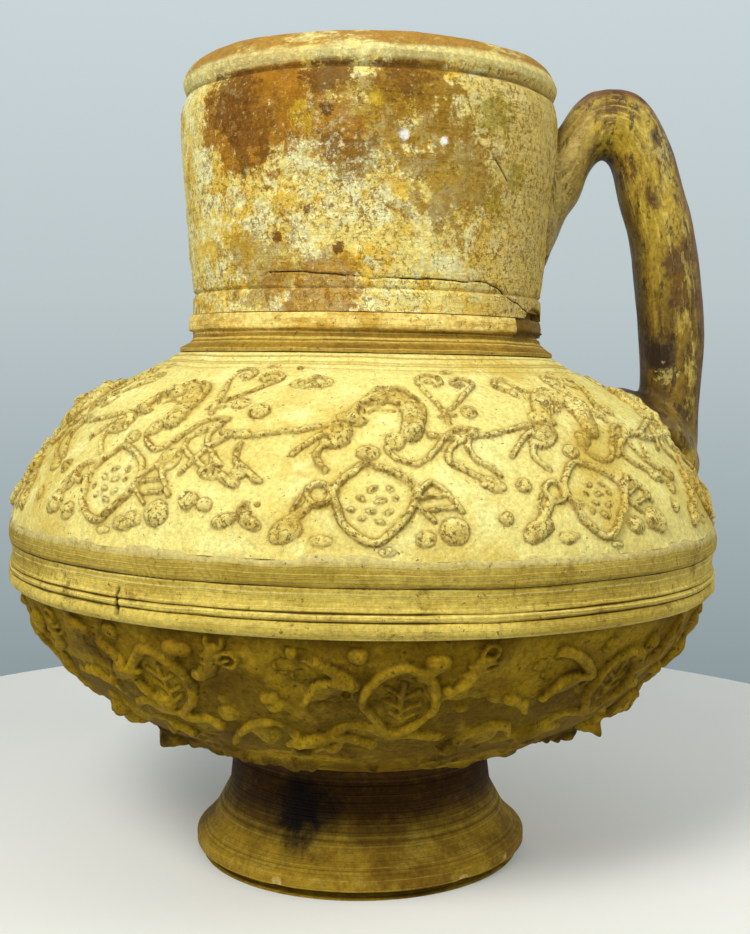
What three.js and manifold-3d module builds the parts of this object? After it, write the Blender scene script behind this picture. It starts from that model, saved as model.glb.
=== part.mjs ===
// Pottery ewer: a moulded body of two halves on a thrown foot, with a thrown neck and a pulled handle.
// Millimetres, +Z up, origin on the table under the middle of the foot, handle on the +X side.
// The pieces are the separate bits of clay that the potter luted together with slip.
import * as THREE from 'three';
import { mergeVertices } from 'three/addons/utils/BufferGeometryUtils.js';
import Module from 'manifold-3d';

const wasm = await Module();
wasm.setup();

// Driving dimensions of the whole pot
const BELLY_RADIUS = 120.5; // crest of the girth band, the widest place
const SLIP_GAP = 0.3; // film of slip in every luted seam
const BODY_LEAN = THREE.MathUtils.degToRad(0.95); // the body settled towards the handle
const SIDES = 36; // facets round each turned piece
const CURVE_STEPS = 5; // facets along each drawn curve

// Foot, thrown hollow
const FOOT_RADIUS = 57.8;
const FOOT_HEIGHT = 39;
const FOOT_EDGE = 6.5; // height of the upright edge, chamfer included
const FOOT_CHAMFER = 2.2;
const RESTING_WIDTH = 6.6; // flat ring that stands on the table
const STEM_RADIUS = 44.6;
const STEM_LENGTH = 9; // straight stretch under the body
const STEM_WALL = 6;
const FLARE_SPREAD = 1; // how far the flare's curve is drawn out before it turns to the edge
const FLARE_HEIGHT = 10; // height at which that curve turns, above the edge

// Moulded halves of the body
const LOWER_HEIGHT = 67.7; // foot to seam
const UPPER_HEIGHT = 65.7; // seam to the top of the shoulder
const BODY_WALL = 6.5;
const BOWL_FULLNESS = 1.57; // exponent of the lower half's curve, 2 being an ellipse

// Girth band over the seam, and the coil pressed into the seam inside
const BAND_HEIGHT = 21.3;
const BAND_THICKNESS = 4.5;
const BAND_PROUD = 0.9; // crest of the band above the body beside it
const COIL_HEIGHT = 11;
const COIL_THICKNESS = 4;

// Neck, its tenon in the body's mouth and its lip
const NECK_HEIGHT = 96.6; // shoulder to the crest of the lip
const NECK_WAIST = 60; // outside radius above the collar
const NECK_SWELL = 64.4; // outside radius at its fullest
const SWELL_RISE = 76; // shoulder to the fullest place
const NECK_WALL = 6.5;
const TENON_LENGTH = 8;
const TENON_WALL = 3.7;
const TENON_STEP = 2.2; // ledge of the neck that stands on the body's mouth
const GROOVE_RISE = 7; // collar to the turned groove
const GROOVE_DEPTH = 1;
const LIP_HEIGHT = 10.6;
const LIP_WALL = 7;
const LIP_NIP = 2.3; // how far the neck draws in under the lip

// Collar, the coil round the foot of the neck
const COLLAR_HEIGHT = 12.4;
const COLLAR_SEAT = 2.8; // how far the neck is turned down to take it
const COLLAR_LEDGE = 4.2; // its lower edge outside the neck's waist, flush with the shoulder

// Handle, a pulled rod, and the clay smoothed round its ends
const ROD_WIDTH = 25; // across the pull
const ROD_DEPTH = 22.5; // in the plane of the handle, on the descending limb
const ROOT_DEPTH = 16.5; // the same at the neck and over the arch
const ARCH_DROP = 13; // lip crest down to the rod's centreline at the arch
const LANDING_INSET = 13.6; // belly's edge in to where the rod's centreline comes down on the shoulder
const ROD_SIDES = 16;
const ROD_STEPS = 20;
const PAD_SPREAD = 6.5; // luting clay beyond the rod on each side
const UPPER_PAD_HEIGHT = 52;
const UPPER_PAD_RISE = 2; // collar to the pad
const UPPER_PAD_THICKNESS = 12;
const LOWER_PAD_THICKNESS = 10;

// Frieze of the two moulds: where its repeats stand, in degrees round the pot from -Y
const UPPER_REPEATS = [-41.2, 0, 33.8, 70, 105.5, 141, 177, 212, 247, 283];
const LOWER_REPEATS = [-37.5, 0, 38.5, 75, 111, 146, 182, 218, 254, 288];
const RELIEF_ROOT = 1.6; // how deep each figure starts inside the wall

// Drawn curves. Shoulder: share of the height from band to rim, share of the radius from rim to belly.
const SHOULDER_CURVE = [
  [0, 1], [0.23, 0.92], [0.45, 0.77], [0.67, 0.58], [0.86, 0.25], [0.95, 0.08], [1, 0],
];
// Band: depth under its crest, share of its height.
const BAND_CURVE = [
  [1.7, 0], [0.2, 0.1], [0, 0.2], [1.3, 0.32], [0.3, 0.36], [0.3, 0.4], [1.8, 0.43], [0.5, 0.48],
  [1.2, 0.63], [0.5, 0.78], [1.5, 0.82], [0.3, 0.86], [0.2, 0.96], [1.5, 1],
];
// Collar: how far it stands outside the neck's waist, share of its height.
const COLLAR_CURVE = [[1, 0.1], [0.57, 0.2], [0.07, 0.36], [0.02, 0.56], [0.3, 0.6], [0.34, 0.8], [0.2, 1]];
// Lip: share of its wall inwards, share of its height.
const LIP_CURVE = [[0.07, 0.1], [-0.05, 0.4], [0.25, 0.76], [0.75, 1], [1, 0.86]];
// Rod: share of the way out from the neck's swell to the landing, share of the height from there to the arch.
const ROD_CURVE = [
  [-0.3, 0.4], [-0.07, 0.6], [0.15, 0.86], [0.33, 0.97], [0.56, 0.99], [0.75, 0.9], [0.85, 0.75], [0.93, 0.58],
  [1, 0.3], [1, 0.1], [0.96, -0.12],
];

// Figures of one repeat: width and height of a rib, then its places in degrees and shares of the way up.
// Upper half: pointed medallion, then an animal's neck, tail, back and hind leg, and two leafy clubs.
const MEDALLION = [2.9, 1.3, [[1, 0.33], [7, 0.25], [6.4, 0.16], [1.8, 0.055], [-3, 0.13], [-3.4, 0.25]]];
const UPPER_FIGURES = [
  [6.6, 1.6, [[-5.4, 0.44], [0, 0.55], [4.4, 0.63], [8, 0.46]]],
  [2.6, 0.9, [[-21, 0.45], [-4, 0.48]]],
  [3.4, 1, [[5, 0.38], [10, 0.36], [16, 0.46]]],
  [3.4, 1, [[15.4, 0.44], [13.6, 0.34], [18, 0.25]]],
  [5.4, 1.2, [[-5.4, 0.245], [-9.6, 0.08]]],
  [5, 1.2, [[10.2, 0.25], [12.4, 0.08]]],
];
// Lower half: oval leaf, then the lobes beside it and the swag and lobes under it.
const LEAF = [2.5, 1.3, [[6, 0.86], [11.3, 0.76], [7, 0.6], [1, 0.7], [1.6, 0.8]]];
const LOWER_FIGURES = [
  [6, 1.4, [[15, 0.87], [14, 0.78]]],
  [7.4, 1.4, [[28, 0.86], [34.6, 0.76]]],
  [3.6, 1.2, [[-10, 0.52], [-1, 0.625], [12, 0.58]]],
  [9, 1.6, [[18, 0.54], [25, 0.56]]],
];

// Levels and radii that follow
const SEAM_Z = FOOT_HEIGHT + LOWER_HEIGHT;
const SHOULDER_Z = SEAM_Z + UPPER_HEIGHT;
const COLLAR_Z = SHOULDER_Z + SLIP_GAP + COLLAR_HEIGHT;
const GROOVE_Z = COLLAR_Z + GROOVE_RISE;
const LIP_Z = SHOULDER_Z + NECK_HEIGHT;
const BAND_BOTTOM_Z = SEAM_Z - BAND_HEIGHT / 2;
const BAND_TOP_Z = SEAM_Z + BAND_HEIGHT / 2;
const BODY_RADIUS = BELLY_RADIUS - BAND_PROUD;
const BAND_SEAT = BELLY_RADIUS - BAND_THICKNESS;
const HOLLOW_RADIUS = BAND_SEAT - BODY_WALL;
const RIM_RADIUS = NECK_WAIST + COLLAR_LEDGE;
const NECK_SEAT = NECK_WAIST - COLLAR_SEAT;
const MOUTH_RADIUS = NECK_SEAT - TENON_STEP;
const LANDING_RADIUS = BODY_RADIUS - LANDING_INSET;

const point = (r, z) => new THREE.Vector2(r, z);

// Pushes every point over with the leaning body, while the foot's base stays level on the table
function leaned(geometry) {
  const position = geometry.attributes.position;
  for (let i = 0; i < position.count; i += 1) {
    const x = position.getX(i);
    const z = position.getZ(i);
    const share = THREE.MathUtils.clamp(z / FOOT_HEIGHT, 0, 1);
    position.setX(i, x + Math.max(z - FOOT_HEIGHT, 0) * Math.sin(BODY_LEAN));
    position.setZ(i, z - x * share * Math.sin(BODY_LEAN));
  }
  return geometry;
}

function welded(geometry) {
  geometry.deleteAttribute('normal');
  geometry.deleteAttribute('uv');
  return mergeVertices(geometry, 1e-4);
}

// Turns an outline of (radius, height) points round the axis; one that misses the axis closes on itself
function turned(outline) {
  const last = outline[outline.length - 1];
  const closed = outline[0].x === 0 && last.x === 0 ? outline : [...outline, outline[0]];
  return welded(new THREE.LatheGeometry(closed, SIDES).rotateX(Math.PI / 2));
}

// Skins a run of rings of points into one closed body, with flat ends unless it closes on itself
function lofted(rings, closed = false) {
  const sides = rings[0].length;
  const total = rings.length * sides;
  const last = total - sides;
  const index = [];
  for (let start = 0; start < (closed ? total : last); start += sides) {
    for (let j = 0; j < sides; j += 1) {
      const a = start + j;
      const b = start + (j + 1) % sides;
      index.push(a, b, (b + sides) % total, a, (b + sides) % total, (a + sides) % total);
    }
  }
  for (let j = 1; j + 1 < sides && !closed; j += 1) {
    index.push(0, j + 1, j);
    index.push(last, last + j, last + j + 1);
  }
  const geometry = new THREE.BufferGeometry().setFromPoints(rings.flat());
  geometry.setIndex(index);
  return geometry;
}

function solid(geometry) {
  return new wasm.Manifold(new wasm.Mesh({
    numProp: 3,
    vertProperties: new Float32Array(geometry.attributes.position.array),
    triVerts: new Uint32Array(geometry.index.array),
  }));
}

function geometryOf(manifold) {
  const mesh = manifold.getMesh();
  const geometry = new THREE.BufferGeometry();
  geometry.setAttribute('position', new THREE.BufferAttribute(new Float32Array(mesh.vertProperties), 3));
  geometry.setIndex(new THREE.BufferAttribute(new Uint32Array(mesh.triVerts), 1));
  return geometry;
}

// Points along a profile curve, moved by a distance to the left of the way it runs, which is inwards
function offsetPoints(curve, distance) {
  return Array.from({ length: CURVE_STEPS + 1 }, (_, i) => {
    const place = curve.getPoint(i / CURVE_STEPS);
    const along = curve.getTangent(i / CURVE_STEPS);
    return point(place.x - along.y * distance, place.y + along.x * distance);
  });
}

// Outside of the lower half, from the stem to the band
class BowlCurve extends THREE.Curve {
  getPoint(t) {
    const top = (BAND_BOTTOM_Z - FOOT_HEIGHT - SLIP_GAP) / LOWER_HEIGHT;
    const rise = top * (1 - Math.cos(t * Math.PI / 2));
    const spread = (1 - (1 - rise) ** BOWL_FULLNESS) ** (1 / BOWL_FULLNESS);
    return point(
      STEM_RADIUS + (BODY_RADIUS - STEM_RADIUS) * spread,
      FOOT_HEIGHT + SLIP_GAP + LOWER_HEIGHT * rise,
    );
  }
}

const bowl = new BowlCurve();

// Outside of the upper half, from the band to the rim
const shoulder = new THREE.SplineCurve(SHOULDER_CURVE.map(([rise, spread]) => point(
  RIM_RADIUS + (BODY_RADIUS - RIM_RADIUS) * spread,
  BAND_TOP_Z + (SHOULDER_Z - BAND_TOP_Z) * rise,
)));

// Outside of the neck, from its groove to the nip under the lip
const neckSide = new THREE.SplineCurve([
  point(NECK_WAIST, GROOVE_Z + GROOVE_DEPTH),
  point(NECK_WAIST + (NECK_SWELL - NECK_WAIST) * 0.5, (GROOVE_Z + SHOULDER_Z + SWELL_RISE) / 2),
  point(NECK_SWELL, SHOULDER_Z + SWELL_RISE),
  point(NECK_SWELL - LIP_NIP, LIP_Z - LIP_HEIGHT),
]);

// A raised rib through its places on a wall, with its root sunk in the clay and its true width at the surface
function rib(wall, turn, [width, height, places], closed = false) {
  const rootWidth = width * (height + RELIEF_ROOT) / height;
  const spots = places.map(([degrees, share]) => {
    const angle = THREE.MathUtils.degToRad(turn + degrees);
    const profile = wall.getPointAt(share);
    const slope = wall.getTangentAt(share);
    const around = new THREE.Vector3(Math.cos(angle), Math.sin(angle), 0);
    const up = new THREE.Vector3(slope.x * Math.sin(angle), -slope.x * Math.cos(angle), slope.y);
    const centre = new THREE.Vector3(profile.x * Math.sin(angle), -profile.x * Math.cos(angle), profile.y);
    return { centre, outward: around.cross(up) };
  });
  const end = closed ? spots.length : spots.length - 1;
  const rings = spots.map(({ centre, outward }, i) => {
    const before = spots.at(closed ? i - 1 : Math.max(i - 1, 0)).centre;
    const after = spots[closed ? (i + 1) % end : Math.min(i + 1, end)].centre;
    const along = after.clone().sub(before);
    const side = outward.clone().cross(along).normalize();
    return [[0.5, -RELIEF_ROOT], [0, height], [-0.5, -RELIEF_ROOT]].map(([across, out]) => (
      centre.clone().addScaledVector(side, across * rootWidth).addScaledVector(outward, out)
    ));
  });
  return solid(lofted(rings, closed));
}

// Every repeat of a frieze: its pointed oval and the figures round it
function frieze(wall, repeats, oval, figures) {
  const ribs = repeats.flatMap((turn) => [
    rib(wall, turn, oval, true),
    ...figures.map((figure) => rib(wall, turn, figure)),
  ]);
  return ribs.reduce((clay, next) => clay.add(next));
}

function footRing() {
  const flareTop = FOOT_HEIGHT - STEM_LENGTH;
  const hollow = STEM_RADIUS - STEM_WALL;
  const restingOuter = FOOT_RADIUS - FOOT_CHAMFER;
  const restingInner = restingOuter - RESTING_WIDTH;
  const outside = new THREE.QuadraticBezierCurve(
    point(FOOT_RADIUS, FOOT_EDGE),
    point(STEM_RADIUS + FLARE_SPREAD, FOOT_EDGE + FLARE_HEIGHT),
    point(STEM_RADIUS, flareTop),
  );
  const inside = new THREE.QuadraticBezierCurve(
    point(hollow, flareTop),
    point(hollow + FLARE_SPREAD, FLARE_HEIGHT),
    point(restingInner, 0),
  );
  return turned([
    point(restingOuter, 0),
    point(FOOT_RADIUS, FOOT_CHAMFER),
    ...outside.getPoints(CURVE_STEPS),
    point(STEM_RADIUS, FOOT_HEIGHT),
    point(hollow, FOOT_HEIGHT),
    ...inside.getPoints(CURVE_STEPS),
  ]);
}

function lowerBody() {
  const inside = offsetPoints(bowl, BODY_WALL).map((p) => point(Math.min(p.x, HOLLOW_RADIUS), p.y));
  const seam = SEAM_Z - SLIP_GAP / 2;
  const wall = turned([
    point(0, FOOT_HEIGHT + SLIP_GAP),
    ...bowl.getPoints(CURVE_STEPS),
    point(BAND_SEAT, BAND_BOTTOM_Z),
    point(BAND_SEAT, seam),
    point(HOLLOW_RADIUS, seam),
    point(HOLLOW_RADIUS, SEAM_Z - COIL_HEIGHT / 2),
    ...inside.reverse(),
    point(0, inside[inside.length - 1].y),
  ]);
  return geometryOf(solid(wall).add(frieze(bowl, LOWER_REPEATS, LEAF, LOWER_FIGURES)));
}

function upperBody() {
  const inside = offsetPoints(shoulder, BODY_WALL).map((p) => point(Math.min(p.x, HOLLOW_RADIUS), p.y));
  const seam = SEAM_Z + SLIP_GAP / 2;
  const wall = turned([
    point(HOLLOW_RADIUS, SEAM_Z + COIL_HEIGHT / 2),
    point(HOLLOW_RADIUS, seam),
    point(BAND_SEAT, seam),
    point(BAND_SEAT, BAND_TOP_Z),
    ...shoulder.getPoints(CURVE_STEPS),
    point(MOUTH_RADIUS, SHOULDER_Z),
    point(MOUTH_RADIUS, inside[inside.length - 1].y),
    ...inside.reverse(),
  ]);
  const figures = frieze(shoulder, UPPER_REPEATS, MEDALLION, UPPER_FIGURES)
    .subtract(landingClay(SLIP_GAP))
    .subtract(rodSocket);
  return geometryOf(solid(wall).add(figures));
}

function girthBand() {
  const bottom = BAND_BOTTOM_Z + SLIP_GAP;
  const height = BAND_HEIGHT - 2 * SLIP_GAP;
  return turned([
    point(BAND_SEAT + SLIP_GAP, bottom),
    ...BAND_CURVE.map(([depth, share]) => point(BELLY_RADIUS - depth, bottom + height * share)),
    point(BAND_SEAT + SLIP_GAP, bottom + height),
  ]);
}

function seamCoil() {
  const back = HOLLOW_RADIUS - SLIP_GAP;
  const bulge = new THREE.QuadraticBezierCurve(
    point(back, SEAM_Z + COIL_HEIGHT / 2),
    point(back - 2 * COIL_THICKNESS, SEAM_Z),
    point(back, SEAM_Z - COIL_HEIGHT / 2),
  );
  return turned(bulge.getPoints(CURVE_STEPS));
}

function neck() {
  const tenon = MOUTH_RADIUS - SLIP_GAP;
  const foot = SHOULDER_Z + SLIP_GAP;
  const lip = new THREE.SplineCurve(LIP_CURVE.map(([inwards, share]) => point(
    NECK_SWELL - LIP_NIP + GROOVE_DEPTH - LIP_WALL * inwards,
    LIP_Z - LIP_HEIGHT * (1 - share),
  )));
  return turned([
    point(tenon - TENON_WALL, SHOULDER_Z - TENON_LENGTH),
    point(tenon, SHOULDER_Z - TENON_LENGTH),
    point(tenon, foot),
    point(NECK_SEAT, foot),
    point(NECK_SEAT, COLLAR_Z),
    point(NECK_WAIST, COLLAR_Z),
    point(NECK_WAIST, GROOVE_Z - GROOVE_DEPTH),
    point(NECK_WAIST - GROOVE_DEPTH, GROOVE_Z),
    ...neckSide.getPoints(CURVE_STEPS),
    ...lip.getPoints(CURVE_STEPS),
    ...offsetPoints(neckSide, NECK_WALL).reverse(),
  ]);
}

function neckCollar() {
  const bottom = SHOULDER_Z + SLIP_GAP;
  const height = COLLAR_HEIGHT - SLIP_GAP;
  return turned([
    point(NECK_SEAT + SLIP_GAP, bottom),
    point(RIM_RADIUS, bottom),
    ...COLLAR_CURVE.map(([spread, share]) => (
      point(NECK_WAIST + COLLAR_LEDGE * spread, bottom + height * share)
    )),
    point(NECK_SEAT + SLIP_GAP, bottom + height),
  ]);
}

// Filled shapes of what the handle stands on, larger by the slip
function neckCore() {
  const collarRadius = RIM_RADIUS + SLIP_GAP;
  return solid(turned([
    point(0, SHOULDER_Z),
    point(collarRadius, SHOULDER_Z),
    point(collarRadius, COLLAR_Z),
    ...offsetPoints(neckSide, -SLIP_GAP),
    point(0, LIP_Z),
  ]));
}

function bodyCore() {
  const outside = offsetPoints(shoulder, -SLIP_GAP);
  return solid(turned([
    point(0, SEAM_Z),
    point(outside[0].x, SEAM_Z),
    ...outside,
    point(0, SHOULDER_Z + SLIP_GAP),
  ]));
}

// Place along the shoulder's curve, from 0 to 1, that lies at a radius
function shoulderShare(radius) {
  const shares = Array.from({ length: 201 }, (_, i) => i / 200);
  return shares.reduce((best, share) => (
    Math.abs(shoulder.getPoint(share).x - radius) < Math.abs(shoulder.getPoint(best).x - radius) ? share : best
  ));
}

const landing = shoulderShare(LANDING_RADIUS);
const LANDING_Z = shoulder.getPoint(landing).y;
const LANDING_TANGENT = shoulder.getTangent(landing);
const LANDING_SLOPE = Math.atan2(LANDING_TANGENT.y, -LANDING_TANGENT.x);

// The pulled rod, thin over the arch and full on the descending limb, larger by an allowance
function rod(allowance) {
  const reach = LANDING_RADIUS - NECK_SWELL;
  const height = LIP_Z - ARCH_DROP - LANDING_Z;
  const centreline = new THREE.CatmullRomCurve3(ROD_CURVE.map(([out, up]) => new THREE.Vector3(
    NECK_SWELL + reach * out,
    0,
    LANDING_Z + height * up,
  )));
  const across = new THREE.Vector3(0, 1, 0);
  const rings = Array.from({ length: ROD_STEPS + 1 }, (_, i) => {
    const share = i / ROD_STEPS;
    const centre = centreline.getPointAt(share);
    const outward = centreline.getTangentAt(share).cross(across);
    const full = THREE.MathUtils.smoothstep(share, 0.35, 0.65);
    const depth = THREE.MathUtils.lerp(ROOT_DEPTH, ROD_DEPTH, full);
    return Array.from({ length: ROD_SIDES }, (__, j) => {
      const angle = 2 * Math.PI * j / ROD_SIDES;
      return centre.clone()
        .addScaledVector(across, (ROD_WIDTH / 2 + allowance) * Math.cos(angle))
        .addScaledVector(outward, (depth / 2 + allowance) * Math.sin(angle));
    });
  });
  return solid(lofted(rings));
}

// A flattened ball of clay, tilted in the plane of the handle, to be cut to its seat
function lump(x, z, length, width, height, tilt) {
  const ball = welded(new THREE.SphereGeometry(1, ROD_SIDES, ROD_SIDES / 2));
  return solid(ball.scale(length, width, height).rotateY(tilt).translate(x, 0, z));
}

const onNeck = neckCore();
const onBody = bodyCore();
const rodSocket = rod(SLIP_GAP);

function handle() {
  return geometryOf(rod(0).subtract(onNeck).subtract(onBody));
}

function upperPad() {
  const centreZ = COLLAR_Z + UPPER_PAD_RISE + UPPER_PAD_HEIGHT / 2;
  const width = ROD_WIDTH / 2 + PAD_SPREAD;
  const clay = lump(NECK_WAIST, centreZ, UPPER_PAD_THICKNESS, width, UPPER_PAD_HEIGHT / 2, 0);
  return geometryOf(clay.subtract(onNeck).subtract(rodSocket));
}

function landingClay(allowance) {
  const length = ROD_DEPTH / 2 + PAD_SPREAD + allowance;
  const width = ROD_WIDTH / 2 + PAD_SPREAD + allowance;
  return lump(LANDING_RADIUS, LANDING_Z, length, width, LOWER_PAD_THICKNESS + allowance, LANDING_SLOPE);
}

function lowerPad() {
  return geometryOf(landingClay(0).subtract(onBody).subtract(rodSocket));
}

// name, shape, colour, roughness
const PIECES = [
  ['foot_ring', footRing, 0x7d6a3c, 0.9],
  ['lower_body', lowerBody, 0xb09a5e, 0.92],
  ['upper_body', upperBody, 0xd9c58c, 0.9],
  ['girth_band', girthBand, 0xbfa968, 0.88],
  ['inner_seam_coil', seamCoil, 0xc4ad74, 0.95],
  ['neck', neck, 0xcbb37a, 0.9],
  ['neck_collar', neckCollar, 0xb39858, 0.9],
  ['handle', handle, 0x8a6b3a, 0.8],
  ['handle_upper_pad', upperPad, 0xa58a50, 0.85],
  ['handle_lower_pad', lowerPad, 0xa58a50, 0.85],
];

const ewer = new THREE.Group();
for (const [name, shape, color, roughness] of PIECES) {
  const material = new THREE.MeshStandardMaterial({ color, roughness, metalness: 0 });
  const mesh = new THREE.Mesh(leaned(shape()), material);
  mesh.name = name;
  ewer.add(mesh);
}

export default ewer;
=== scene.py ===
# Unglazed pottery ewer: foot, two moulded halves, girth band, collar, neck and handle, luted with slip.
import math

import bpy
import numpy as np
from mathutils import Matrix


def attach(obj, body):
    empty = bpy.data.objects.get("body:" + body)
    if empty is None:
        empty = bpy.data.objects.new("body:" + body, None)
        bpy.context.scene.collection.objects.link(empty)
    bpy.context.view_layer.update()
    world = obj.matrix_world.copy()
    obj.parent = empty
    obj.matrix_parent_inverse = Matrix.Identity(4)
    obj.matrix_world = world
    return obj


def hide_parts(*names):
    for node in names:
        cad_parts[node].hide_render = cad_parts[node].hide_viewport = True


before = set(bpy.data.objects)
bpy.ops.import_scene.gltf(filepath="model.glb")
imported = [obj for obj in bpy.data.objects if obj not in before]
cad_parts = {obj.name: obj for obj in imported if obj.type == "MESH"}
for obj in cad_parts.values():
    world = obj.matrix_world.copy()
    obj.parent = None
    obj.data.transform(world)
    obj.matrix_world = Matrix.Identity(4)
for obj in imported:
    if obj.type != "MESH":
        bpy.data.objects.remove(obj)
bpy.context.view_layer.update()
scene = bpy.context.scene
scene.view_settings.view_transform = "Standard"
MM = 0.001

# Camera: a little above the belly, in front of the pot, tilted down four degrees.
# The lens is the one whose ellipses fit the lip, the collar, the band and the foot.
camera = bpy.data.objects.new("camera", bpy.data.cameras.new("camera"))
camera.data.lens = 50.34
camera.data.sensor_width = 36
camera.location = (0.0053, -0.4575, 0.1666)
camera.rotation_euler = (math.radians(85.87), 0, 0)
scene.collection.objects.link(camera)
scene.camera = camera

# Stage: a round white table with a soft edge, and a blue-grey wall that only the camera sees as such.
# The main lamp hangs above the front, a little to the left, a weaker one hangs on the right, and the room
# fills the rest. The camera sees the table a little paler than its own light leaves it.
bpy.ops.object.select_all(action="DESELECT")
bpy.ops.mesh.primitive_cylinder_add(vertices=160, radius=0.277, depth=0.03, location=(-0.005, 0.06, -0.015))
table_top = bpy.context.object
table_top.name = "table_top"
bevel = table_top.modifiers.new("edge", "BEVEL")
bevel.width = 0.004
bevel.segments = 4
bevel.limit_method = "ANGLE"
bpy.ops.object.modifier_apply(modifier=bevel.name)
bpy.ops.object.shade_smooth_by_angle(angle=math.radians(35))
table_paint = bpy.data.materials.new("table_paint")
table_paint.use_nodes = True
table_shader = table_paint.node_tree.nodes["Principled BSDF"]
table_shader.inputs["Base Color"].default_value = (0.8, 0.815, 0.79, 1)
table_shader.inputs["Roughness"].default_value = 0.55
table_shader.inputs["Emission Color"].default_value = (0.84, 0.95, 1, 1)
table_top.data.materials.append(table_paint)


def lamp(name, place, size, power, colour):
    """A square soft lamp that looks at the middle of the pot."""
    light = bpy.data.objects.new(name, bpy.data.lights.new(name, "AREA"))
    light.data.size = size
    light.data.energy = power
    light.data.color = colour
    light.location = place
    aim = light.location.copy()
    aim.z -= 0.14
    light.rotation_euler = aim.to_track_quat("Z", "Y").to_euler()
    scene.collection.objects.link(light)


lamp("key_lamp", (-0.26, -0.62, 0.66), 0.28, 6.6, (1, 0.97, 0.9))
lamp("side_lamp", (0.75, -0.3, 0.7), 0.4, 2.9, (1, 0.98, 0.93))


def node(tree, kind, inputs=(), **settings):
    """Adds a shader node. An input that is given a socket is linked, and any other is set."""
    made = tree.nodes.new("ShaderNode" + kind)
    for key, value in settings.items():
        setattr(made, key, value)
    for key, value in dict(inputs).items():
        if isinstance(value, bpy.types.NodeSocket):
            tree.links.new(value, made.inputs[key])
        else:
            made.inputs[key].default_value = value
    return made


world = bpy.data.worlds.new("room")
world.use_nodes = True
scene.world = world
room = world.node_tree
direction = node(room, "TexCoord").outputs["Generated"]
height = node(room, "SeparateXYZ", {"Vector": direction}).outputs["Z"]
wall = node(room, "ValToRGB", {"Fac": node(room, "MapRange", {
    "Value": height, "From Min": -0.24, "From Max": 0.3}).outputs[0]})
wall.color_ramp.elements[0].color = (0.25, 0.31, 0.33, 1)
wall.color_ramp.elements[1].color = (0.6, 0.68, 0.7, 1)
middle = wall.color_ramp.elements.new(0.55)
middle.color = (0.5, 0.575, 0.59, 1)
seen = node(room, "LightPath").outputs
sees_wall = node(room, "Math", {0: seen["Is Camera Ray"], 1: seen["Is Glossy Ray"]}, operation="MAXIMUM").outputs[0]
sees_wall = node(room, "Math", {0: sees_wall, 1: seen["Is Transmission Ray"]}, operation="MAXIMUM").outputs[0]
fill = node(room, "Background", {"Color": (0.98, 0.98, 0.94, 1), "Strength": 0.38})
seen_wall = node(room, "Background", {"Color": wall.outputs[0], "Strength": 1})
either = node(room, "MixShader", {0: sees_wall, 1: fill.outputs[0], 2: seen_wall.outputs[0]})
room.links.new(either.outputs[0], room.nodes["World Output"].inputs["Surface"])
paint = table_paint.node_tree
seen = node(paint, "LightPath").outputs
seen_table = node(paint, "Math", {0: seen["Is Camera Ray"], 1: seen["Is Glossy Ray"]}, operation="MAXIMUM").outputs[0]
paler = node(paint, "Math", {0: seen_table, 1: 0.07}, operation="MULTIPLY").outputs[0]
paint.links.new(paler, table_shader.inputs["Emission Strength"])

# Foot: a hollow stand thrown on the wheel from coarse clay, with a flared edge chipped here and there.
# It is joined to the floor of the belly with slip, and kiln smoke has blackened one side of its stem.
FOOT_HEIGHT = 39
STEM_RADIUS = 44.6
LEAN = math.sin(math.radians(0.95))


def bezier(first, pull, last, count=40):
    """Points on a curve from the first point to the last, drawn towards a third."""
    t = np.linspace(0, 1, count)[:, None]
    first, pull, last = (np.array(p, float) for p in (first, pull, last))
    return first * (1 - t) ** 2 + 2 * pull * t * (1 - t) + last * t ** 2


def drawn(runs):
    """Joins runs of (points, spacing) into one path of (radius, height) points with the way along it.
    The stops are the places on that way where the outline gets a vertex."""
    path, stops, way, starts = [], [0.0], 0.0, []
    for points, spacing in runs:
        points = np.array(points, float)
        if path:
            gap = float(np.hypot(*(points[0] - path[-1])))
            if gap > 1e-6:
                way += gap
                stops.append(way)
            else:
                points = points[1:]
                points = np.vstack([path[-1], points])
                path.pop()
        starts.append(way)
        length = float(np.hypot(*np.diff(points, axis=0).T).sum())
        steps = max(1, round(length / spacing))
        stops.extend(way + length * (k + 1) / steps for k in range(steps))
        way += length
        path.extend(points)
    path = np.array(path)
    path = path[np.r_[True, np.hypot(*np.diff(path, axis=0).T) > 1e-6]]
    if path[0][0] > 0 and np.hypot(*(path[0] - path[-1])) > 1e-6:
        path = np.vstack([path, path[0]])
        stops.append(way + float(np.hypot(*(path[-1] - path[-2]))))
    along = np.r_[0, np.cumsum(np.hypot(*np.diff(path, axis=0).T))]
    return path, along, stops, starts


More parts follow.
